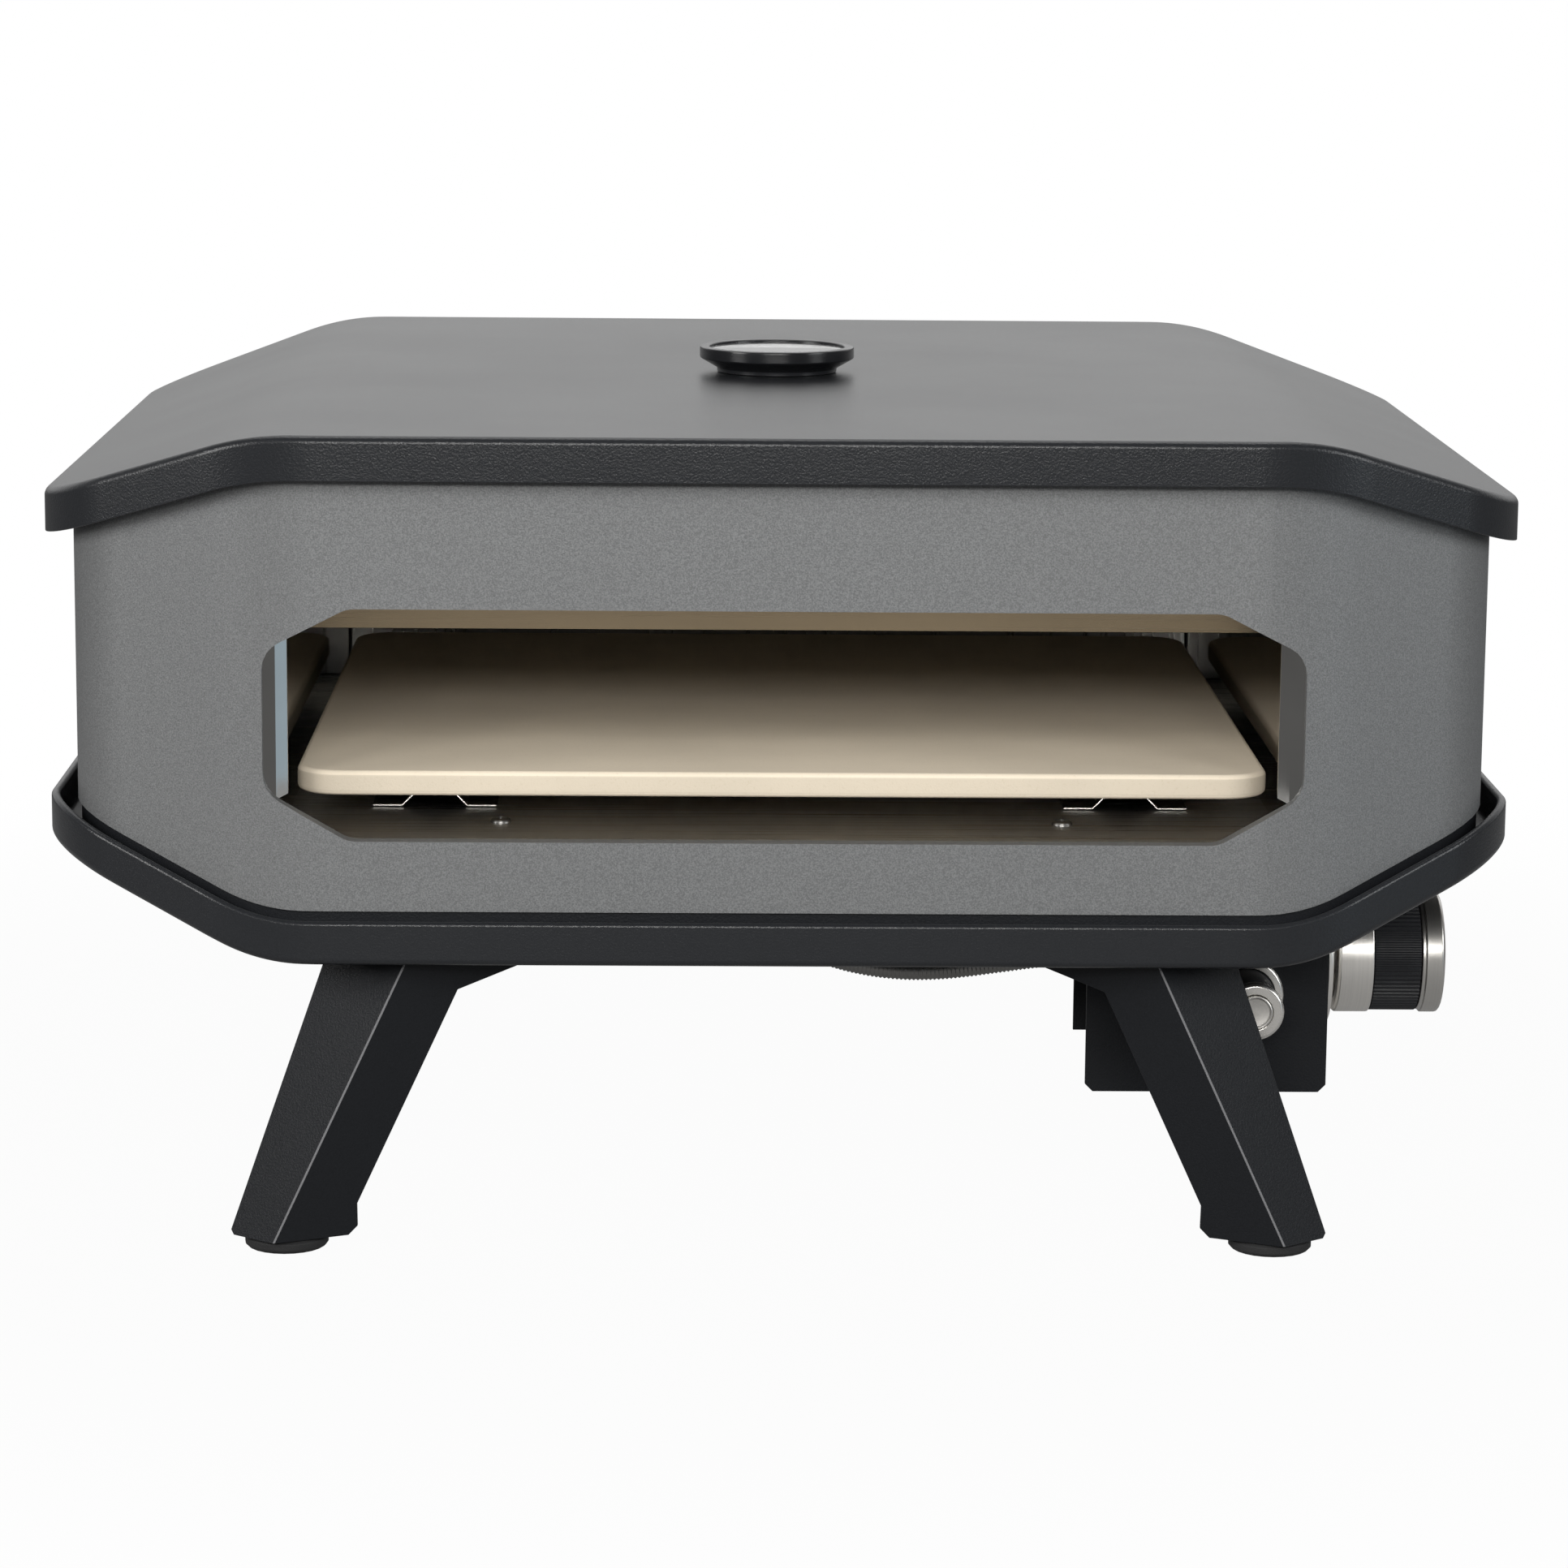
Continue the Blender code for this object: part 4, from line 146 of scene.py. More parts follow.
class OvenSizes(bpy.types.PropertyGroup):
    """Sizes of the details that the frame leaves open."""

    fold_radius: FloatProperty(name="Fold radius", description="Outer radius where lid and tray fold into their rims",
                               default=0.0032, unit="LENGTH")
    sheet_edge: FloatProperty(name="Sheet edge", description="Softened edge of cut sheet metal",
                              default=0.0003, unit="LENGTH")
    ridge_radius: FloatProperty(name="Leg ridge", description="Width of the bend along each leg's ridge",
                                default=0.0010, unit="LENGTH")
    mouth_edge: FloatProperty(name="Mouth edge", description="Rounding of the body's cut edges round the mouth",
                              default=0.0006, unit="LENGTH")
    flange_fold: FloatProperty(name="Flange fold", description="Width of the folds in the chamber's front flanges",
                               default=0.0005, unit="LENGTH")
    stone_edge: FloatProperty(name="Stone edge", description="Rounding of the baking stone's edges",
                              default=0.0026, unit="LENGTH")
    corner_steps: IntProperty(name="Corner steps", description="Segments in each rounded corner of lid and tray",
                              default=18, min=2)
    hem: FloatProperty(name="Tray hem", description="Thickness of the rolled hem along the tray's upper edge",
                       default=0.0040, unit="LENGTH")
    hem_depth: FloatProperty(name="Hem depth", description="How far the tray's hem reaches down on its inside",
                             default=0.0060, unit="LENGTH")
    hose_pitch: FloatProperty(name="Hose rib pitch", description="Distance between the hose's ribs",
                              default=0.0019, unit="LENGTH")
    grip_ribs: IntProperty(name="Grip ribs", description="Ribs round the knob's black grip", default=76, min=12)


class OvenColours(bpy.types.PropertyGroup):
    """Colours of the finishes."""

    black_paint: FloatVectorProperty(name="Black paint", description="Satin powder coat of lid, tray and legs",
                                     default=(0.0100, 0.0108, 0.0125), subtype="COLOR", size=3)
    grey_paint: FloatVectorProperty(name="Grey paint", description="Metallic paint of the body",
                                    default=(0.134, 0.137, 0.139), subtype="COLOR", size=3)
    stone: FloatVectorProperty(name="Stone", description="Cordierite of the baking stone",
                               default=(0.605, 0.532, 0.425), subtype="COLOR", size=3)
    steel: FloatVectorProperty(name="Steel", description="Stainless steel of the chamber",
                               default=(0.56, 0.55, 0.53), subtype="COLOR", size=3)
    nickel: FloatVectorProperty(name="Nickel", description="Brushed nickel of knob and igniter",
                                default=(0.52, 0.505, 0.48), subtype="COLOR", size=3)
    plastic: FloatVectorProperty(name="Plastic", description="Black plastic of grip and barrel",
                                 default=(0.012, 0.0125, 0.014), subtype="COLOR", size=3)


# Nodes and finishes

def node(tree, kind, x=0, **inputs):
    """Adds a shader node; keyword names with underscores are its sockets."""
    made = tree.nodes.new(kind)
    made.location.x = x
    for name, value in inputs.items():
        made.inputs[name.replace("_", " ")].default_value = value
    return made


def new_finish(name, colour, roughness, metallic=0.0):
    """A material with its Principled shader, and the tree and shader to build on."""
    made = bpy.data.materials.new(name)
    made.use_nodes = True
    tree = made.node_tree
    shader = tree.nodes["Principled BSDF"]
    shader.inputs["Base Color"].default_value = (*colour, 1)
    shader.inputs["Roughness"].default_value = roughness
    shader.inputs["Metallic"].default_value = metallic
    return made, tree, shader


def grain(tree, scale, detail=2.0, stretch=(1, 1, 1)):
    """Noise on Object coordinates, in metres, stretched along an axis where asked."""
    place = node(tree, "ShaderNodeTexCoord", -900)
    turn = node(tree, "ShaderNodeMapping", -700, Scale=stretch)
    pattern = node(tree, "ShaderNodeTexNoise", -500, Scale=scale, Detail=detail)
    tree.links.new(place.outputs["Object"], turn.inputs["Vector"])
    tree.links.new(turn.outputs["Vector"], pattern.inputs["Vector"])
    return pattern


def vary(tree, pattern, low, high, from_low=0.3, from_high=0.7):
    """The pattern's value spread between two numbers."""
    made = node(tree, "ShaderNodeMapRange", -250, From_Min=from_low, From_Max=from_high, To_Min=low, To_Max=high)
    tree.links.new(pattern.outputs[0], made.inputs["Value"])
    return made.outputs["Result"]


def tint(tree, shader, factor, first, second):
    """Mixes two colours into the base colour."""
    mix = node(tree, "ShaderNodeMix", -120)
    mix.data_type = "RGBA"
    mix.inputs["A"].default_value = (*first, 1)
    mix.inputs["B"].default_value = (*second, 1)
    tree.links.new(factor, mix.inputs["Factor"])
    tree.links.new(mix.outputs["Result"], shader.inputs["Base Color"])
    return mix


def bump(tree, shader, height, strength, depth):
    """Fine relief in the shader's normal."""
    relief = node(tree, "ShaderNodeBump", -120, Strength=strength, Distance=depth)
    tree.links.new(height, relief.inputs["Height"])
    tree.links.new(relief.outputs["Normal"], shader.inputs["Normal"])


def scaled(colour, share):
    """A colour made lighter or darker, at most white."""
    return tuple(min(channel * share, 1.0) for channel in colour)


def powder_coat(name, colour, roughness=0.29, gloss=0.40):
    """Satin powder coat: a fine orange peel and slightly uneven gloss."""
    made, tree, shader = new_finish(name, colour, roughness)
    shader.inputs["Specular IOR Level"].default_value = gloss
    bump(tree, shader, vary(tree, grain(tree, 1100, 3), 0, 1), 0.18, 0.0004)
    tree.links.new(vary(tree, grain(tree, 9, 3), roughness - 0.012, roughness + 0.012), shader.inputs["Roughness"])
    tint(tree, shader, vary(tree, grain(tree, 1500, 1), 0, 1), scaled(colour, 0.88), scaled(colour, 1.14))
    return made


def metallic_paint(name, colour):
    """Grey metallic coat: fine pale flakes in a slightly darker ground."""
    made, tree, shader = new_finish(name, colour, 0.46, 0.35)
    flakes = vary(tree, grain(tree, 1700, 2), 0, 1, 0.36, 0.68)
    tint(tree, shader, flakes, scaled(colour, 0.80), scaled(colour, 1.30))
    tree.links.new(vary(tree, grain(tree, 7, 2), 0.42, 0.50), shader.inputs["Roughness"])
    bump(tree, shader, vary(tree, grain(tree, 1300, 2), 0, 1), 0.12, 0.0003)
    return made


def sheet_steel(name, colour, roughness, stretch=(3, 900, 900), relief=0.05, streak=0.30):
    """Rolled stainless sheet with faint rolling lines and heat bloom."""
    made, tree, shader = new_finish(name, colour, roughness, 1.0)
    lines = grain(tree, 1, 4, stretch)
    tree.links.new(vary(tree, lines, roughness * (1 - streak), roughness * (1 + streak)),
                   shader.inputs["Roughness"])
    bloom = vary(tree, grain(tree, 12, 4), 0, 1)
    tint(tree, shader, bloom, scaled(colour, 1 - streak / 2), scaled(colour, 1 + streak / 4))
    bump(tree, shader, vary(tree, lines, 0, 1), relief, 0.0001)
    return made


def brushed(name, colour, stretch, roughness=0.27):
    """Brushed metal: fine lines along one axis."""
    made, tree, shader = new_finish(name, colour, roughness, 1.0)
    lines = grain(tree, 1, 5, stretch)
    tree.links.new(vary(tree, lines, roughness - 0.03, roughness + 0.05), shader.inputs["Roughness"])
    tint(tree, shader, vary(tree, lines, 0, 1), scaled(colour, 0.95), scaled(colour, 1.04))
    bump(tree, shader, vary(tree, lines, 0, 1), 0.02, 0.0001)
    return made


def cordierite(name, colour):
    """Pressed baking stone: fine sand grain, small pits and faint warm clouds."""
    made, tree, shader = new_finish(name, colour, 0.88)
    shader.inputs["Specular IOR Level"].default_value = 0.25
    cloud = tint(tree, shader, vary(tree, grain(tree, 14, 5), 0, 1), scaled(colour, 0.95), scaled(colour, 1.05))
    speck = node(tree, "ShaderNodeMix", 0)
    speck.data_type = "RGBA"
    speck.blend_type = "MULTIPLY"
    speck.inputs["B"].default_value = (0.72, 0.66, 0.58, 1)
    tree.links.new(cloud.outputs["Result"], speck.inputs["A"])
    tree.links.new(vary(tree, grain(tree, 900, 2), 0.22, 0, 0.26, 0.40), speck.inputs["Factor"])
    tree.links.new(speck.outputs["Result"], shader.inputs["Base Color"])
    bump(tree, shader, vary(tree, grain(tree, 1300, 3), 0, 1), 0.16, 0.0003)
    return made


def moulded(name, colour, roughness=0.42, depth=0.0002):
    """Moulded plastic or rubber with a fine spark-eroded grain."""
    made, tree, shader = new_finish(name, colour, roughness)
    shader.inputs["Specular IOR Level"].default_value = 0.3
    bump(tree, shader, vary(tree, grain(tree, 2200, 2), 0, 1), 0.2, depth)
    tree.links.new(vary(tree, grain(tree, 30, 3), roughness - 0.04, roughness + 0.05), shader.inputs["Roughness"])
    tint(tree, shader, vary(tree, grain(tree, 60, 2), 0, 1), scaled(colour, 0.85), scaled(colour, 1.15))
    return made


def clear_glass(name):
    """Clear glass with a faintly uneven polish."""
    made, tree, shader = new_finish(name, (1, 1, 1), 0.02)
    shader.inputs["Transmission Weight"].default_value = 1.0
    shader.inputs["IOR"].default_value = 1.46
    tree.links.new(vary(tree, grain(tree, 25, 2), 0.01, 0.04), shader.inputs["Roughness"])
    return made


def enamel(name, colour, roughness=0.35):
    """Smooth enamel, print or glaze with a faint mottle."""
    made, tree, shader = new_finish(name, colour, roughness)
    tint(tree, shader, vary(tree, grain(tree, 200, 2), 0, 1), scaled(colour, 0.96), scaled(colour, 1.03))
    tree.links.new(vary(tree, grain(tree, 80, 2), roughness - 0.05, roughness + 0.05), shader.inputs["Roughness"])
    return made


FINISH = {}


def make_finishes(colours):
    """All finishes, by the name that the pieces ask for."""
    FINISH.update({
        "black_paint": powder_coat("black_powder_coat", colours.black_paint),
        "leg_paint": powder_coat("leg_powder_coat", scaled(colours.black_paint, 0.85), 0.40, 0.16),
        # The leg ridges' lighter paint is a painted highlight along each bend.
        "ridge_highlight_paint": powder_coat("leg_ridge_painted_highlight", (0.125, 0.125, 0.13), 0.34, 0.4),
        "grey_paint": metallic_paint("grey_metallic_coat", colours.grey_paint),
        # Painted light: the chamber floor's steel is made 1.6 times lighter than the steel colour.
        "floor_sheet": sheet_steel("stainless_floor", scaled(colours.steel, 1.6), 0.29, relief=0.006, streak=0.10),
        "rest_sheet": sheet_steel("stainless_rest", scaled(colours.steel, 0.7), 0.24),
        # The ceiling lip's darker warm tan is a painted reflection of the stone, set apart from the roof's steel.
        "lip_reflection_sheet": sheet_steel("stainless_lip_painted_reflection", (0.375, 0.333, 0.268), 0.26, relief=0.005, streak=0.08),
        "roof_sheet": sheet_steel("stainless_roof", scaled(colours.steel, 1.25), 0.22),
        "wall_sheet": sheet_steel("stainless_wall", scaled(colours.steel, 1.25), 0.035, (500, 500, 3), 0.006),
        "back_sheet": sheet_steel("stainless_back", colours.steel, 0.34, (900, 900, 3)),
        "polished": sheet_steel("stainless_polished", scaled(colours.steel, 1.05), 0.05, (300, 300, 3), 0.004),
        "burner": sheet_steel("burner_steel", scaled(colours.steel, 0.9), 0.3),
        "stone": cordierite("cordierite", colours.stone),
        # The stone's sides are painted darker than its top: painted shade.
        "stone_side_shade": cordierite("cordierite_painted_side_shade", scaled(colours.stone, 0.80)),
        # These nickel parts are copies of one brushed nickel, each made lighter by its own amount to stand in for the
        # light it catches: painted light.
        "nickel_ring": brushed("nickel_turned_ring", scaled(colours.nickel, 1.7), (3200, 8, 8), 0.33),
        "nickel_cap": brushed("nickel_turned_cap", scaled(colours.nickel, 1.2), (3200, 8, 8), 0.31),
        "nickel_round_y": brushed("nickel_turned_y", scaled(colours.nickel, 1.6), (8, 3200, 8)),
        "nickel_button": brushed("nickel_blasted", scaled(colours.nickel, 1.4), (1600, 1600, 1600), 0.42),
        "hose": brushed("hose_steel", scaled(colours.steel, 0.42), (400, 400, 400), 0.34),
        "screw": brushed("screw_steel", scaled(colours.steel, 0.4), (900, 900, 900), 0.36),
        "brass": brushed("brass", (0.62, 0.45, 0.19), (500, 500, 500), 0.33),
        "plastic": moulded("black_plastic", colours.plastic),
        "gloss_black": moulded("gauge_black", scaled(colours.plastic, 0.8), 0.22, 0.00005),
        "rubber": moulded("black_rubber", (0.014, 0.014, 0.0145), 0.62, 0.0004),
        "ceramic": enamel("white_ceramic", (0.78, 0.76, 0.72)),
        "dial": enamel("dial_enamel", (0.78, 0.78, 0.76), 0.4),
        "dial_print": enamel("dial_print", (0.02, 0.02, 0.022), 0.5),
        "needle": enamel("needle_red", (0.52, 0.03, 0.02)),
        "glass": clear_glass("clear_glass"),
    })


# Modelling helpers

def deselect():
    """Leaves edit mode and selects nothing."""
    if bpy.context.object and bpy.context.object.mode != "OBJECT":
        bpy.ops.object.mode_set(mode="OBJECT")
    bpy.ops.object.select_all(action="DESELECT")


def pick(piece):
    """Makes one piece the only selected and the active one."""
    deselect()
    piece.select_set(True)
    bpy.context.view_layer.objects.active = piece


def settle(piece):
    """Puts the piece's place, turn and size into its mesh."""
    pick(piece)
    bpy.ops.object.transform_apply(location=True, rotation=True, scale=True)
    return piece


def edit(piece, mode="VERT"):
    """Opens a piece in edit mode with nothing selected."""
    pick(piece)
    bpy.ops.object.mode_set(mode="EDIT")
    bpy.ops.mesh.select_mode(type=mode)
    bpy.ops.mesh.select_all(action="DESELECT")
    return bmesh.from_edit_mesh(piece.data)


def leave_edit():
    """Back to object mode."""
    bpy.ops.object.mode_set(mode="OBJECT")


def select_where(piece, mode, test):
    """Selects the vertices, edges or faces that pass a test, in edit mode."""
    shape = edit(piece, mode)
    for element in {"VERT": shape.verts, "EDGE": shape.edges, "FACE": shape.faces}[mode]:
        if test(element):
            element.select_set(True)
    bmesh.update_edit_mesh(piece.data)


def edge_height(edge):
    """How far apart an edge's ends are in height."""
    return abs(edge.verts[0].co.z - edge.verts[1].co.z)


def is_fold(edge):
    """Whether a level face and an upright one meet at the edge."""
    if len(edge.link_faces) != 2:
        return False
    first, second = (abs(face.normal.z) for face in edge.link_faces)
    return (first > 0.5) != (second > 0.5)


def round_where(piece, test, width, segments, affect="EDGES"):
    """Bevels the edges, or the corner points, that pass a test."""
    select_where(piece, "EDGE" if affect == "EDGES" else "VERT", test)
    bpy.ops.mesh.bevel(offset=width, segments=segments, affect=affect)
    leave_edit()


def cut(piece, place, facing, clear_outer=False):
    """Cuts a whole piece along a plane, and clears what lies beyond it where asked."""
    edit(piece)
    bpy.ops.mesh.select_all(action="SELECT")
    bpy.ops.mesh.bisect(plane_co=place, plane_no=facing, clear_outer=clear_outer)
    leave_edit()


def apply_modifier(piece, kind, **settings):
    """Adds a modifier with its settings and applies it."""
    pick(piece)
    modifier = piece.modifiers.new(kind.lower(), kind)
    for name, value in settings.items():
        setattr(modifier, name, value)
    bpy.ops.object.modifier_apply(modifier=modifier.name)


def soften(piece, width, segments=2, angle=30):
    """Rounds every edge sharper than an angle in degrees."""
    apply_modifier(piece, "BEVEL", width=width, segments=segments, limit_method="ANGLE",
                   angle_limit=math.radians(angle), use_clamp_overlap=True)


def smooth(piece, angle=40):
    """Smooth shading that keeps flat faces flat and edges crisp."""
    pick(piece)
    bpy.ops.object.shade_smooth_by_angle(angle=math.radians(angle))
    apply_modifier(piece, "WEIGHTED_NORMAL", keep_sharp=True, weight=60)


def finish_piece(piece, name, body, finish, stands_for=(), angle=40):
    """Shades, names and paints a piece, and ties it to the frame."""
    piece.name = name
    piece.data.name = name
    smooth(piece, angle)
    piece.data.materials.clear()
    piece.data.materials.append(FINISH[finish])
    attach(piece, body)
    if stands_for:
        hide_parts(*stands_for)
    return piece


def copy_of(node_name):
    """A merged copy of a frame solid, with its flat faces made whole again."""
    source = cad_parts[node_name]
    piece = bpy.data.objects.new(node_name + "_copy", source.data.copy())
    bpy.context.scene.collection.objects.link(piece)
    edit(piece)
    bpy.ops.mesh.select_all(action="SELECT")
    bpy.ops.mesh.remove_doubles(threshold=TINY)
    bpy.ops.mesh.dissolve_limited(angle_limit=math.radians(0.4))
    leave_edit()
    return piece


def dressed(node_name, body, finish, edge=0.0, segments=2, angle=40):
    """A frame solid with softened edges and smooth bends, in place of its faceted self."""
    piece = copy_of(node_name)
    if edge:
        soften(piece, edge, segments)
    return finish_piece(piece, node_name + "_skin", body, finish, (node_name,), angle)


def repaint(piece, finish, test):
    """Gives some faces of a finished piece a second finish."""
    piece.data.materials.append(FINISH[finish])
    for face in piece.data.polygons:
        if test(face):
            face.material_index = len(piece.data.materials) - 1


def join(pieces):
    """Joins separate pieces into the first."""
    deselect()
    for piece in pieces:
        piece.select_set(True)
    bpy.context.view_layer.objects.active = pieces[0]
    bpy.ops.object.join()
    return pieces[0]


AXES = {
    "X": (0, math.radians(90), 0),
    "-X": (0, math.radians(-90), 0),
    "Y": (math.radians(-90), 0, 0),
    "-Y": (math.radians(90), 0, 0),
    "Z": (0, 0, 0),
}


def face_outward(piece):
    """Turns every face outward."""
    edit(piece, "FACE")
    bpy.ops.mesh.select_all(action="SELECT")
    bpy.ops.mesh.normals_make_consistent(inside=False)
    leave_edit()


def lathe(profile, place, axis, sides=64):
    """Stacks rings of (radius, height) along an axis; a radius of 0 at an end closes it."""
    rings = [point for point in profile if point[0] > 0]
    deselect()
    bpy.ops.mesh.primitive_circle_add(vertices=sides, radius=rings[0][0], location=(0, 0, rings[0][1]))
    piece = settle(bpy.context.object)
    edit(piece, "EDGE")
    bpy.ops.mesh.select_all(action="SELECT")
    for (radius, height), (next_radius, next_height) in zip(rings, rings[1:]):
        bpy.ops.mesh.extrude_edges_move(TRANSFORM_OT_translate={"value": (0, 0, next_height - height)})
        share = next_radius / radius
        bpy.ops.transform.resize(value=(share, share, 1), center_override=(0, 0, 0))
    leave_edit()
    closed_ends = [ring for ring, end in ((rings[0], profile[0]), (rings[-1], profile[-1])) if end[0] == 0]
    for radius, height in closed_ends:
        select_where(piece, "EDGE", lambda e: e.is_boundary and all(
            abs(v.co.z - height) < TINY and abs(v.co.xy.length - radius) < TINY for v in e.verts))
        bpy.ops.mesh.edge_face_add()
        leave_edit()
    if not closed_ends:
        select_where(piece, "EDGE", lambda e: e.is_boundary)
        bpy.ops.mesh.bridge_edge_loops()
        leave_edit()
    face_outward(piece)
    piece.rotation_euler = AXES[axis]
    piece.location = place
    return settle(piece)


def cross_head_screw(radius):
    """A pan-head screw with its cross recess, at the origin and pointing up."""
    head = lathe(((0, 0), (radius, 0), (radius * 1.02, radius * 0.16), (radius * 0.92, radius * 0.36),
                  (radius * 0.66, radius * 0.50), (radius * 0.3, radius * 0.55), (0, radius * 0.55)),
                 (0, 0, 0), "Z", 28)
    for size in ((1.15, 0.2, 0.5), (0.2, 1.15, 0.5)):
        deselect()
        bpy.ops.mesh.primitive_cube_add(size=1, location=(0, 0, radius * 0.55))
        bpy.context.object.scale = Vector(size) * radius
        bar = settle(bpy.context.object)
        apply_modifier(head, "BOOLEAN", object=bar, operation="DIFFERENCE", solver="EXACT")
        bpy.data.objects.remove(bar)
    return head


def set_screws(places, radius, finish):
    """Copies one screw to each (name, place, axis), and paints it."""
    model = cross_head_screw(radius)
    for name, place, axis in places:
        screw = bpy.data.objects.new(name, model.data.copy())
        bpy.context.scene.collection.objects.link(screw)
        screw.rotation_euler = AXES[axis]
        screw.location = place
        finish_piece(settle(screw), name, "oven", finish, (), angle=35)
    bpy.data.objects.remove(model)


def eased(points, rounds=3):
    """The route with its tightest bends eased; its two ends stay."""
    points = [Vector(point) for point in points]
    for _ in range(rounds):
        middle = [(before + 2 * point + after) / 4
                  for before, point, after in zip(points[1:], points[2:], points[3:])]
        points = points[:2] + middle[:len(points) - 4] + points[-2:]
    return points


def between(points, spacing):
    """Evenly spaced points on a smooth curve through the given ones."""
    dense = []
    padded = [points[0]] + list(points) + [points[-1]]
    steps = 24
    for a, b, c, d in zip(padded, padded[1:], padded[2:], padded[3:]):
        for step in range(steps):
            t = step / steps
            dense.append(0.5 * (2 * b + (c - a) * t + (2 * a - 5 * b + 4 * c - d) * t ** 2
                                + (3 * b - a - 3 * c + d) * t ** 3))
    dense.append(points[-1])
    length = sum((b - a).length for a, b in zip(dense, dense[1:]))
    count = round(length / spacing)
    made, travelled, index = [dense[0]], 0.0, 0
    for number in range(1, count):
        target = length * number / count
        while travelled + (dense[index + 1] - dense[index]).length < target:
            travelled += (dense[index + 1] - dense[index]).length
            index += 1
        share = (target - travelled) / (dense[index + 1] - dense[index]).length
        made.append(dense[index].lerp(dense[index + 1], share))
    made.append(dense[-1])
    return made, length


def ribbed_tube(name, path, outer, root, sides=14):
    """A corrugated tube along a path that has RIB_POINTS points to each rib."""
    shape = bmesh.new()
    rings = []
    side = Vector((0, 0, 1))
    for index, point in enumerate(path):
        ahead = (path[min(index + 1, len(path) - 1)] - path[max(index - 1, 0)]).normalized()
        side = (side - side.dot(ahead) * ahead).normalized()
        across = ahead.cross(side)
        radius = (outer, (outer + root) / 2, root, (outer + root) / 2)[index % RIB_POINTS]
        rings.append([shape.verts.new(point + radius * (math.cos(turn) * side + math.sin(turn) * across))
                      for turn in (2 * math.pi * step / sides for step in range(sides))])
    for ring, following in zip(rings, rings[1:]):
        for step in range(sides):
            shape.faces.new((ring[step], ring[(step + 1) % sides], following[(step + 1) % sides], following[step]))
    shape.faces.new(reversed(rings[0]))
    shape.faces.new(rings[-1])
    bmesh.ops.recalc_face_normals(shape, faces=shape.faces)
    mesh = bpy.data.meshes.new(name)
    shape.to_mesh(mesh)
    shape.free()
    tube = bpy.data.objects.new(name, mesh)
    bpy.context.scene.collection.objects.link(tube)
    return tube


def wing_height(x, wing):
    """How far the bent wing has left the flat middle at x."""
    angle = math.atan(wing["slope"])
    first = wing["start"] - wing["radius"] * math.tan(angle / 2)
    last = first + wing["radius"] * math.sin(angle)
    x = abs(x)
    if x <= first:
        return 0.0
    if x >= last:
        return wing["slope"] * (x - wing["start"])
    return wing["radius"] - math.sqrt(wing["radius"] ** 2 - (x - first) ** 2)


def bend_places(plate, half_width):
    """Where the wings bend: across the plate, from corner point to corner point of its front and back arcs."""
    reach = FRONT_CORNER_RADIUS * math.tan(math.atan2(CHAMFER[1], CHAMFER[0]) / 2)
    middle = half_width - CHAMFER[0]
    return sorted({round(vertex.co.x, 6) for vertex in plate.data.vertices
                   if abs(abs(vertex.co.x) - middle) < reach + TINY})


def octagon_plate(half_width, half_depth, steps):
    """A flat plate in the oven's plan: chamfered corners, each turned into an arc."""
    deselect()
    bpy.ops.mesh.primitive_plane_add(size=2)
    plate = bpy.context.object
    plate.scale = (half_width, half_depth, 1)
    settle(plate)
    for x_sign in (-1, 1):
        for y_sign in (-1, 1):
            corner = (x_sign * half_width, y_sign * (half_depth - CHAMFER[1]), 0)
            cut(plate, corner, (x_sign * CHAMFER[1], y_sign * CHAMFER[0], 0), clear_outer=True)
    side_turn = math.atan2(CHAMFER[0], CHAMFER[1])
    front_turn = math.atan2(CHAMFER[1], CHAMFER[0])
    for radius, turn, on_side in ((SIDE_CORNER_RADIUS, side_turn, True), (FRONT_CORNER_RADIUS, front_turn, False)):
        def wanted(vertex):
            at_side = abs(abs(vertex.co.x) - half_width) < TINY
            at_front = abs(abs(vertex.co.y) - half_depth) < TINY
            return at_side and not at_front if on_side else at_front and not at_side
        round_where(plate, wanted, radius * math.tan(turn / 2), steps, "VERTICES")
    return plate


def pressed_pan(node_name, rim, wing, sizes, hem=0.0):
    """Bends the plate's wings, folds a rim down all round, hems it and gives it the sheet's thickness."""
    low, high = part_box(node_name)
    half_width = (high.x - low.x) / 2
    pan = octagon_plate(half_width, (high.y - low.y) / 2, sizes.corner_steps)
    for x in bend_places(pan, half_width):
        cut(pan, (x, 0, 0), (1, 0, 0))
    for vertex in pan.data.vertices:
        vertex.co.z = -wing_height(vertex.co.x, wing)
    select_where(pan, "EDGE", lambda e: e.is_boundary)
    bpy.ops.mesh.extrude_edges_move(TRANSFORM_OT_translate={"value": (0, 0, -rim)})
    leave_edit()
    face_outward(pan)
    round_where(pan, is_fold, sizes.fold_radius, 6)
    if hem:
        roll_hem(pan, rim, wing, hem, sizes.hem_depth)
    apply_modifier(pan, "SOLIDIFY", thickness=PAN_SHEET, offset=-1.0, use_even_offset=True)
    soften(pan, sizes.sheet_edge, 3, 60)
    return pan


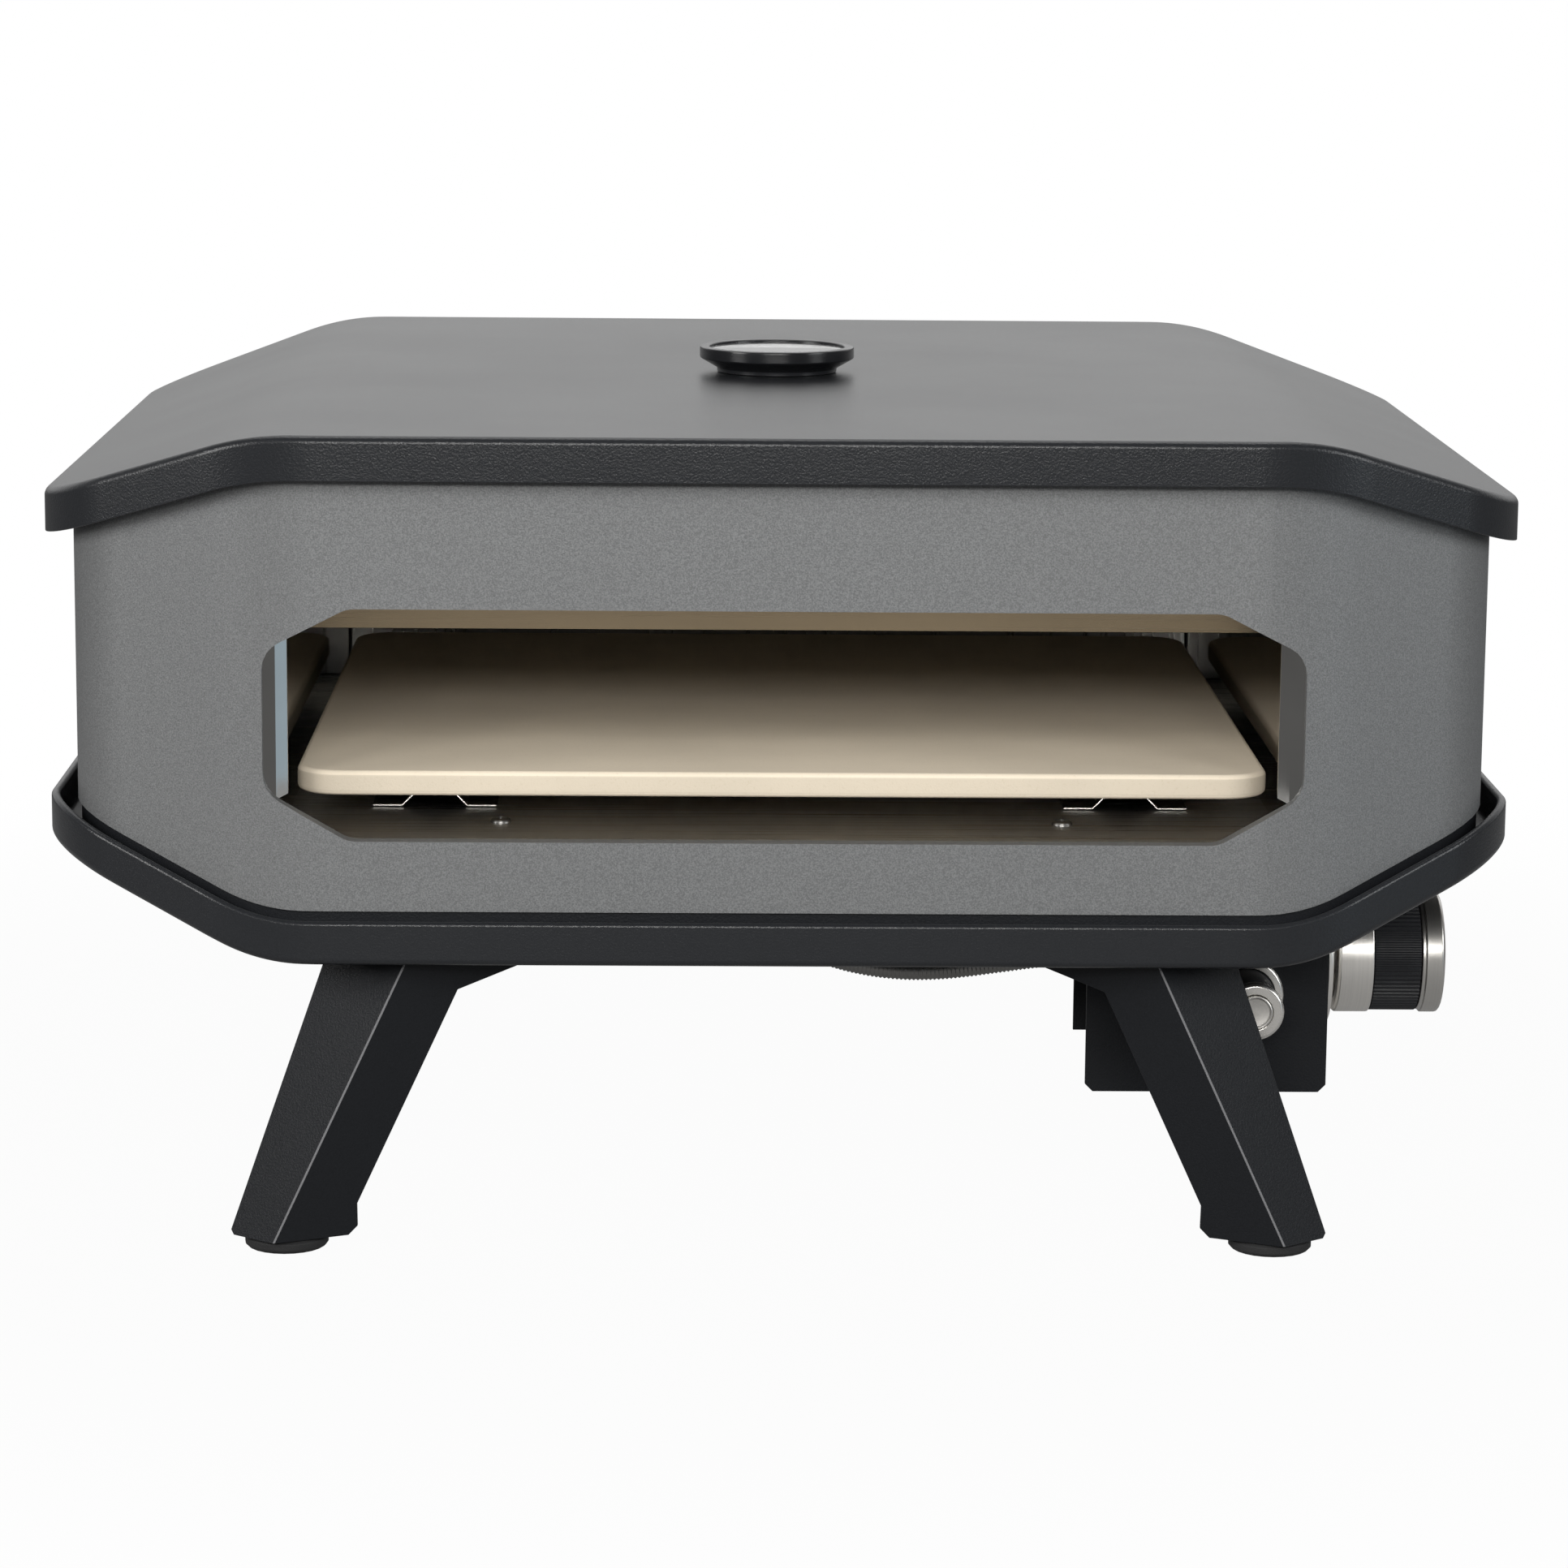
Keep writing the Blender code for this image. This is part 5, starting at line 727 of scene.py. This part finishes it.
def roll_hem(pan, rim, wing, hem, depth):
    """Rolls the rim's free edge inwards and back on itself."""
    select_where(pan, "EDGE", lambda e: e.is_boundary)
    bpy.ops.mesh.extrude_edges_move(TRANSFORM_OT_translate={"value": (0, 0, -TINY)})
    shape = bmesh.from_edit_mesh(pan.data)
    shape.normal_update()
    for vertex, inward in [(v, -v.normal.copy()) for v in shape.verts if v.is_boundary]:
        vertex.co += hem * Vector((inward.x, inward.y, 0)).normalized()
    bmesh.update_edit_mesh(pan.data)
    bpy.ops.mesh.extrude_edges_move(TRANSFORM_OT_translate={"value": (0, 0, depth)})
    leave_edit()

    def is_rolled(edge):
        near = all(abs(v.co.z + wing_height(v.co.x, wing) + rim) < hem * 0.6 for v in edge.verts)
        return near and is_fold(edge)
    round_where(pan, is_rolled, hem * 0.47, 5)


# The stage

def worked_out(tree, operation, first, second, x=-700):
    """What a Math node makes of two values."""
    made = node(tree, "ShaderNodeMath", x)
    made.operation = operation
    tree.links.new(first, made.inputs[0])
    tree.links.new(second, made.inputs[1])
    return made.outputs[0]


def rays(tree, *kinds):
    """1 for the named kinds of ray, else 0."""
    path = node(tree, "ShaderNodeLightPath", -900)
    output = path.outputs[kinds[0]]
    for kind in kinds[1:]:
        output = worked_out(tree, "MAXIMUM", output, path.outputs[kind])
    return output


def spread(tree, value, from_low, from_high, to_low=0.0, to_high=1.0):
    """A value spread smoothly between two numbers."""
    made = node(tree, "ShaderNodeMapRange", -500, From_Min=from_low, From_Max=from_high, To_Min=to_low, To_Max=to_high)
    made.interpolation_type = "SMOOTHSTEP"
    tree.links.new(value, made.inputs["Value"])
    return made.outputs["Result"]


def blended(tree, factor, first, second):
    """A number that goes from the first to the second as the factor goes from 0 to 1."""
    mix = node(tree, "ShaderNodeMix", -200)
    for name, value in (("Factor", factor), ("A", first), ("B", second)):
        if isinstance(value, bpy.types.NodeSocket):
            tree.links.new(value, mix.inputs[name])
        else:
            mix.inputs[name].default_value = value
    return mix.outputs["Result"]


class OVEN_OT_stage(bpy.types.Operator):
    """Floor, white backdrop, lamps and the camera at the photograph's viewing angle"""

    bl_idname = "oven.stage"
    bl_label = "Stage"

    def execute(self, context):
        self.floor()
        self.backdrop(context)
        for settings in LAMPS:
            self.lamp(*settings)
        self.camera(context)
        context.scene.view_settings.view_transform = "Standard"
        return {"FINISHED"}

    @staticmethod
    def floor():
        """A pale floor that keeps a faint shadow and fades into the white backdrop."""
        deselect()
        bpy.ops.mesh.primitive_circle_add(vertices=96, radius=FLOOR_RADIUS, fill_type="NGON", location=(0, 0, -SEAM))
        floor = settle(bpy.context.object)
        floor.name = "studio_floor"
        paint, tree, shader = new_finish("studio_floor_white", FLOOR_WHITE, 0.9)
        place = node(tree, "ShaderNodeTexCoord", -1100)
        away = node(tree, "ShaderNodeVectorMath", -900)
        away.operation = "LENGTH"
        tree.links.new(place.outputs["Object"], away.inputs[0])
        fade = [FLOOR_RADIUS * share for share in FLOOR_FADE]
        share = spread(tree, away.outputs["Value"], *fade, *FLOOR_GLOW)
        mirrored = blended(tree, rays(tree, "Is Glossy Ray"), 0.0, FLOOR_MIRRORED_GLOW)
        seen = rays(tree, "Is Camera Ray", "Is Transmission Ray")
        glow = node(tree, "ShaderNodeEmission", 200, Color=(1, 1, 1, 1), Strength=1.0)
        mix = node(tree, "ShaderNodeMixShader", 400)
        tree.links.new(blended(tree, seen, mirrored, share), mix.inputs["Fac"])
        tree.links.new(shader.outputs["BSDF"], mix.inputs[1])
        tree.links.new(glow.outputs["Emission"], mix.inputs[2])
        tree.links.new(mix.outputs["Shader"], tree.nodes["Material Output"].inputs["Surface"])
        floor.data.materials.append(paint)

    @staticmethod
    def backdrop(context):
        """A world that is white to the eye, and white behind and above the oven in its reflections."""
        world = bpy.data.worlds.new("studio_world")
        context.scene.world = world
        world.use_nodes = True
        tree = world.node_tree
        place = node(tree, "ShaderNodeTexCoord", -1100)
        parts = node(tree, "ShaderNodeSeparateXYZ", -900)
        tree.links.new(place.outputs["Generated"], parts.inputs["Vector"])
        behind = spread(tree, parts.outputs["Y"], *WHITE_BEHIND)
        above = spread(tree, parts.outputs["Z"], *WHITE_ABOVE)
        mirrored = blended(tree, worked_out(tree, "MULTIPLY", behind, above, -350), ROOM_LEVEL, 1.0)
        level = blended(tree, rays(tree, "Is Glossy Ray"), AMBIENT_LEVEL, mirrored)
        level = blended(tree, rays(tree, "Is Camera Ray", "Is Transmission Ray"), level, 1.0)
        white = tree.nodes["Background"]
        white.inputs["Color"].default_value = (1, 1, 1, 1)
        tree.links.new(level, white.inputs["Strength"])

    @staticmethod
    def lamp(name, place, size, power, colour, mirrored):
        """A soft rectangular lamp that faces the oven."""
        light = bpy.data.lights.new(name, "AREA")
        light.color = colour
        light.shape = "RECTANGLE"
        light.size, light.size_y = size
        light.energy = power
        lamp = bpy.data.objects.new(name, light)
        lamp.visible_camera = False
        lamp.visible_glossy = mirrored
        bpy.context.scene.collection.objects.link(lamp)
        lamp.location = place
        aim = LAMP_TARGET - Vector(place)
        lamp.rotation_euler = aim.to_track_quat("-Z", "Y").to_euler()

    @staticmethod
    def camera(context):
        """The camera that fits the photograph's outlines."""
        data = bpy.data.cameras.new("photo_camera")
        data.sensor_fit = "HORIZONTAL"
        data.sensor_width = SENSOR
        data.lens = FOCAL_PIXELS / PHOTO_SIZE * SENSOR
        camera = bpy.data.objects.new("photo_camera", data)
        context.scene.collection.objects.link(camera)
        forward = Vector((math.sin(CAMERA_YAW) * math.cos(CAMERA_PITCH),
                          math.cos(CAMERA_YAW) * math.cos(CAMERA_PITCH), -math.sin(CAMERA_PITCH)))
        level = Vector((math.cos(CAMERA_YAW), -math.sin(CAMERA_YAW), 0))
        upward = level.cross(forward)
        right = math.cos(CAMERA_ROLL) * level + math.sin(CAMERA_ROLL) * upward
        up = math.cos(CAMERA_ROLL) * upward - math.sin(CAMERA_ROLL) * level
        turn = Matrix((right, up, -forward)).transposed().to_4x4()
        camera.matrix_world = Matrix.Translation(CAMERA_PLACE) @ turn
        context.scene.camera = camera


# The oven's pieces

class OVEN_OT_lid(bpy.types.Operator):
    """Bent lid with its folded rim"""

    bl_idname = "oven.lid"
    bl_label = "Lid"

    def execute(self, context):
        lid = pressed_pan("lid_shell", LID_RIM, LID_WING, context.scene.oven_sizes)
        lid.location.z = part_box("lid_shell")[1].z
        settle(lid)
        finish_piece(lid, "lid", "oven", "black_paint", ("lid_shell",), angle=50)
        return {"FINISHED"}


class OVEN_OT_tray(bpy.types.Operator):
    """Base tray, the lid's form turned over, and the frame ring that stands in it"""

    bl_idname = "oven.tray"
    bl_label = "Tray"

    def execute(self, context):
        sizes = context.scene.oven_sizes
        tray = pressed_pan("base_tray", TRAY_RIM, TRAY_WING, sizes, sizes.hem)
        tray.rotation_euler = (0, math.radians(180), 0)
        tray.location.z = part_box("base_tray")[0].z
        settle(tray)
        finish_piece(tray, "tray", "oven", "black_paint", ("base_tray",), angle=50)
        dressed("base_frame", "oven", "leg_paint", sizes.sheet_edge)
        return {"FINISHED"}


class OVEN_OT_body(bpy.types.Operator):
    """Wrapped body: front with the mouth, sides and rear"""

    bl_idname = "oven.body"
    bl_label = "Body"

    def execute(self, context):
        sizes = context.scene.oven_sizes
        dressed("front_panel", "oven", "grey_paint", sizes.mouth_edge, segments=3)
        for name in ("side_panel_left", "side_panel_right", "rear_panel"):
            dressed(name, "oven", "grey_paint", sizes.sheet_edge)
        self.panel_screws()
        return {"FINISHED"}

    @staticmethod
    def panel_screws():
        """Black screws that hold the rear and the side panels to the frame."""
        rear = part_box("rear_panel")[1].y
        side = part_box("side_panel_right")[1].x
        places = [("rear", (x, rear - SEAM / 2, z), "Y")
                  for x in (-REAR_SCREW["x"], REAR_SCREW["x"]) for z in REAR_SCREW["heights"]]
        for axis, x in (("-X", SEAM / 2 - side), ("X", side - SEAM / 2)):
            places += [("side", (x, y, SIDE_SCREW["z"]), axis) for y in (-SIDE_SCREW["y"], SIDE_SCREW["y"])]
        named = [(f"{panel}_screw_{number}", place, axis) for number, (panel, place, axis) in enumerate(places)]
        set_screws(named, PANEL_SCREW_RADIUS, "plastic")


class OVEN_OT_chamber(bpy.types.Operator):
    """Stainless chamber: floor, walls, ceiling, guard, rests and burner"""

    bl_idname = "oven.chamber"
    bl_label = "Chamber"

    def execute(self, context):
        sizes = context.scene.oven_sizes
        edge = sizes.sheet_edge
        dressed("chamber_floor", "oven", "floor_sheet", edge)
        # The lip faces carry the painted reflection; the level faces get the roof's steel.
        ceiling = dressed("chamber_ceiling", "oven", "lip_reflection_sheet", edge)
        repaint(ceiling, "roof_sheet", lambda face: abs(face.normal.z) > LEVEL_FACING)
        for name in ("stone_rest_left", "stone_rest_right"):
            dressed(name, "oven", "rest_sheet", edge)
        for name in ("chamber_back_wall", "flame_guard"):
            dressed(name, "oven", "back_sheet", edge)
        for name in ("chamber_wall_left", "chamber_wall_right"):
            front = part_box(name)[0].y
            wall = copy_of(name)
            round_where(wall, lambda e: edge_height(e) > TALL_EDGE
                        and sizes.flange_fold < e.verts[0].co.y - front < FLANGE_FOLD_DEPTH
                        and e.calc_face_angle(0) > FOLD_ANGLE, sizes.flange_fold, 3)
            soften(wall, edge, 2, 45)
            finish_piece(wall, name + "_skin", "oven", "wall_sheet", (name,), angle=30)
            repaint(wall, "polished", lambda face: face.center.y < front + POLISHED_DEPTH)
        self.floor_screws()
        for name in ("burner_tube", "burner_support_left", "burner_support_right", "mixing_tube", "flame_sensor",
                     "thermometer_probe", "thermometer_nut"):
            dressed(name, "oven", "burner", 0)
        dressed("spark_electrode", "oven", "ceramic", 0)
        return {"FINISHED"}

    @staticmethod
    def floor_screws():
        """Two cross-head screws in the chamber floor, just inside the mouth."""
        places = [("floor_screw_" + side, (x, FLOOR_SCREW["y"], FLOOR_SCREW["top"] - SEAM), "Z")
                  for side, x in (("left", -FLOOR_SCREW["x"]), ("right", FLOOR_SCREW["x"]))]
        set_screws(places, FLOOR_SCREW["radius"], "screw")


class OVEN_OT_stone(bpy.types.Operator):
    """Baking stone with rounded corners and edges"""

    bl_idname = "oven.stone"
    bl_label = "Baking stone"

    corner_radius: FloatProperty(name="Corner radius", description="Radius of the stone's four corners",
                                 default=0.020, unit="LENGTH")

    def execute(self, context):
        low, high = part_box("baking_stone")
        deselect()
        bpy.ops.mesh.primitive_cube_add(size=1, location=(low + high) / 2, scale=high - low)
        stone = settle(bpy.context.object)
        round_where(stone, lambda e: edge_height(e) > TINY, self.corner_radius, 12)
        round_where(stone, lambda e: edge_height(e) < TINY and e.calc_face_angle(0) > CORNER_ANGLE,
                    context.scene.oven_sizes.stone_edge, 5)
        finish_piece(stone, "stone", "baking_stone", "stone", ("baking_stone",), angle=50)
        # Painted shade: faces that point sideways get the darker stone colour.
        repaint(stone, "stone_side_shade", lambda face: abs(face.normal.z) < STONE_SIDE_FACING)
        return {"FINISHED"}


class OVEN_OT_legs(bpy.types.Operator):
    """Four folded legs with a rounded ridge, and their rubber feet"""

    bl_idname = "oven.legs"
    bl_label = "Legs and feet"

    def execute(self, context):
        sizes = context.scene.oven_sizes
        for name in ("leg_front_left", "leg_front_right", "leg_rear_left", "leg_rear_right"):
            leg = copy_of(name)
            low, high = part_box(name)
            outer_y = low.y if name.startswith("leg_front") else high.y
            round_where(leg, lambda e: all(abs(v.co.y - outer_y) < TINY * 5 for v in e.verts)
                        and edge_height(e) > TALL_EDGE, sizes.ridge_radius, 4)
            soften(leg, sizes.sheet_edge, 2, 45)
            finish_piece(leg, name + "_skin", "oven", "leg_paint", (name,), angle=35)
            # Painted highlight: the ridge's middle faces get a lighter paint in place of the light they would catch.
            repaint(leg, "ridge_highlight_paint", lambda face: abs(face.center.y - outer_y) < sizes.ridge_radius
                    and abs(face.normal.y) > RIDGE_FACING and face.area < RIDGE_FACE_AREA)
        for name in ("foot_front_left", "foot_front_right", "foot_rear_left", "foot_rear_right"):
            dressed(name, "oven", "rubber", RUBBER_EDGE)
        return {"FINISHED"}


class OVEN_OT_hose(bpy.types.Operator):
    """Corrugated gas hose from the valve to the burner's jet"""

    bl_idname = "oven.hose"
    bl_label = "Gas hose"

    def execute(self, context):
        pitch = context.scene.oven_sizes.hose_pitch
        path, length = between(eased(HOSE_ROUTE), pitch / RIB_POINTS)
        hose = ribbed_tube("gas_hose_ribbed", path, HOSE_RADIUS, HOSE_ROOT)
        finish_piece(hose, "gas_hose_ribbed", "oven", "hose", ("gas_hose",), angle=80)
        return {"FINISHED"}


class OVEN_OT_controls(bpy.types.Operator):
    """Control bracket, knob, igniter, valve and their fittings"""

    bl_idname = "oven.controls"
    bl_label = "Controls"

    def execute(self, context):
        edge = context.scene.oven_sizes.sheet_edge
        dressed("control_bracket", "oven", "leg_paint", edge)
        for name, body, finish in (("knob_bezel", "oven", "nickel_ring"), ("knob_base_ring", "gas_knob", "nickel_ring"),
                                   ("knob_end_cap", "gas_knob", "nickel_cap")):
            dressed(name, body, finish, TURNED_EDGE, segments=3)
        self.grip(context.scene.oven_sizes.grip_ribs)
        for name in ("igniter_barrel", "igniter_nut"):
            dressed(name, "oven", "plastic", edge)
        for name in ("igniter_base_ring", "igniter_bezel"):
            dressed(name, "oven", "nickel_round_y", TURNED_EDGE, segments=3)
        self.button()
        dressed("air_shutter", "oven", "nickel_round_y", 0)
        for name in ("gas_valve", "gas_inlet", "inlet_lock_nut", "gas_jet", "hose_nut_valve", "hose_nut_jet"):
            dressed(name, "oven", "brass", edge)
        dressed("valve_spindle", "valve_spindle", "brass", 0)
        return {"FINISHED"}

    @staticmethod
    def grip(ribs):
        """The knob's black grip, with fine ribs along its axis."""
        low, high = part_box("knob_grip")
        centre = (low + high) / 2
        radius = (high.z - low.z) / 2
        length = high.x - low.x
        rib, chamfer = 0.0006, 0.0008
        deselect()
        bpy.ops.mesh.primitive_cylinder_add(vertices=4 * ribs, radius=radius, depth=length)
        grip = settle(bpy.context.object)
        select_where(grip, "VERT", lambda v: v.index // 2 % 4 < 2)
        share = 1 - rib / radius
        bpy.ops.transform.resize(value=(share, share, 1), center_override=(0, 0, 0))
        leave_edit()
        select_where(grip, "FACE", lambda f: abs(f.normal.z) > 0.9)
        bpy.ops.mesh.inset(thickness=chamfer, depth=0.0)
        leave_edit()
        select_where(grip, "VERT", lambda v: v.co.xy.length > radius - (rib + chamfer) / 2)
        bpy.ops.transform.resize(value=(1, 1, 1 - chamfer / length), center_override=(0, 0, 0))
        leave_edit()
        grip.rotation_euler = AXES["X"]
        grip.location = centre
        settle(grip)
        finish_piece(grip, "knob_grip_ribbed", "gas_knob", "plastic", ("knob_grip",), angle=25)

    @staticmethod
    def button():
        """The igniter's push button, dished for a fingertip."""
        low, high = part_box("igniter_button")
        length = high.y - low.y
        radius = (high.x - low.x) / 2
        lip, dish = 0.0002, 0.0007
        profile = [(0, 0), (radius, 0), (radius, length - 3 * lip), (radius - lip, length - lip),
                   (radius - 3 * lip, length), (radius - 5.5 * lip, length - lip)]
        profile += [(radius * share, length - 1.5 * lip - dish * (1 - share ** 2)) for share in (0.8, 0.6, 0.4, 0.2)]
        profile.append((0, 0))
        button = lathe(profile, ((low.x + high.x) / 2, high.y, (low.z + high.z) / 2), "-Y", 64)
        finish_piece(button, "igniter_push_button", "igniter_button", "nickel_button",
                     ("igniter_button",), angle=30)


class OVEN_OT_thermometer(bpy.types.Operator):
    """Dial thermometer in the lid"""

    bl_idname = "oven.thermometer"
    bl_label = "Thermometer"

    def execute(self, context):
        self.case()
        dressed("thermometer_dial", "oven", "dial", 0)
        self.scale_marks()
        dressed("thermometer_needle", "thermometer_needle", "needle", 0)
        self.lens()
        return {"FINISHED"}

    @staticmethod
    def lens():
        """The dial's slightly domed glass."""
        low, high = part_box("thermometer_glass")
        radius = (high.x - low.x) / 2
        thick = high.z - low.z
        chamfer, dome = 0.0004, 0.0008
        profile = [(0, 0), (radius, 0), (radius, thick * 0.8), (radius - chamfer, thick)]
        profile += [(radius * share, thick + dome * (1 - share ** 2)) for share in (0.9, 0.75, 0.55, 0.3, 0.1)]
        profile.append((0, 0))
        lens = lathe(profile, ((low.x + high.x) / 2, (low.y + high.y) / 2, low.z), "Z", 96)
        finish_piece(lens, "thermometer_lens", "oven", "glass", ("thermometer_glass",), angle=30)

    @staticmethod
    def case():
        """The case: a low neck, a flared cone and a rounded bezel round the dial's well."""
        low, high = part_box("thermometer_case")
        dial_low, dial_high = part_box("thermometer_dial")
        foot = high.z - CASE_HEIGHT
        well = dial_low.z - foot - SEAM / 3
        radius = (high.x - low.x) / 2
        well_radius = (dial_high.x - dial_low.x) / 2 + SEAM / 3
        top = CASE_HEIGHT
        # (radius, height) from the probe's neck over the foot, the cone and the bezel down into the dial's well
        profile = ((0, low.z - foot), (0.0055, low.z - foot), (0.0055, 0), (0.0286, 0), (0.0289, 0.0003),
                   (0.0290, 0.0017), (0.0293, 0.0021), (radius - 0.0009, 0.0062), (radius - 0.0002, 0.0067),
                   (radius, 0.0072), (radius, top - 0.0010), (radius - 0.0003, top - 0.0003),
                   (radius - 0.0010, top), (well_radius + 0.0008, top), (well_radius + 0.0002, top - 0.0003),
                   (well_radius, top - 0.0006), (well_radius, well), (0, well))
        case = lathe(profile, ((low.x + high.x) / 2, (low.y + high.y) / 2, foot), "Z", 96)
        finish_piece(case, "thermometer_case_turned", "oven", "gloss_black",
                     ("thermometer_case",), angle=35)

    @staticmethod
    def scale_marks():
        """Printed tick marks and plain temperatures round the dial."""
        low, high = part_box("thermometer_dial")
        centre = (low + high) / 2
        radius = (high.x - low.x) / 2
        steps, per_number, first_angle, sweep = 25, 5, 225, 270
        value_per_step = 20
        number_ring, number_height = 0.68, 0.0050
        thick, lift = 0.00012, 0.00008
        marks = []
        for step in range(steps + 1):
            numbered = step % per_number == 0
            middle, length, width = (0.88, 0.12, 0.0007) if numbered else (0.90, 0.07, 0.0004)
            turn = math.radians(first_angle - sweep * step / steps)
            deselect()
            bpy.ops.mesh.primitive_cube_add(size=1, location=(radius * middle, 0, 0))
            bpy.context.object.scale = (radius * length, width, thick)
            mark = settle(bpy.context.object)
            mark.rotation_euler = (0, 0, turn)
            marks.append(settle(mark))
            if numbered:
                place = Vector((math.cos(turn), math.sin(turn), 0)) * radius * number_ring
                bpy.ops.object.text_add(location=place)
                number = bpy.context.object
                number.data.body = str(step * value_per_step)
                number.data.size = number_height
                number.data.align_x = "CENTER"
                number.data.align_y = "CENTER"
                number.data.extrude = thick / 2
                pick(number)
                bpy.ops.object.convert(target="MESH")
                marks.append(settle(bpy.context.object))
        marks = join(marks)
        marks.location = (centre.x, centre.y, high.z + lift)
        settle(marks)
        finish_piece(marks, "thermometer_scale", "oven", "dial_print", (), angle=30)


class OVEN_PT_panel(bpy.types.Panel):
    """Lists the oven's groups of pieces in the sidebar"""

    bl_idname = "OVEN_PT_panel"
    bl_label = "Pizza Oven"
    bl_space_type = "VIEW_3D"
    bl_region_type = "UI"
    bl_category = "Pizza Oven"

    def draw(self, context):
        layout = self.layout
        for settings in (context.scene.oven_sizes, context.scene.oven_colours):
            for name in settings.bl_rna.properties.keys():
                if name not in ("rna_type", "name"):
                    layout.prop(settings, name)
        for operator in OPERATORS:
            layout.operator(operator.bl_idname)


OPERATORS = (OVEN_OT_stage, OVEN_OT_hose, OVEN_OT_lid, OVEN_OT_tray, OVEN_OT_body, OVEN_OT_chamber, OVEN_OT_stone,
             OVEN_OT_legs, OVEN_OT_controls, OVEN_OT_thermometer)
CLASSES = (OvenSizes, OvenColours) + OPERATORS + (OVEN_PT_panel,)


def register():
    for item in CLASSES:
        bpy.utils.register_class(item)
    bpy.types.Scene.oven_sizes = PointerProperty(type=OvenSizes)
    bpy.types.Scene.oven_colours = PointerProperty(type=OvenColours)


def unregister():
    del bpy.types.Scene.oven_colours
    del bpy.types.Scene.oven_sizes
    for item in reversed(CLASSES):
        bpy.utils.unregister_class(item)


def main():
    """Registers the add-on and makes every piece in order."""
    register()
    make_finishes(bpy.context.scene.oven_colours)
    for operator in OPERATORS:
        group, name = operator.bl_idname.split(".")
        getattr(getattr(bpy.ops, group), name)()


if __name__ == "__main__":
    main()
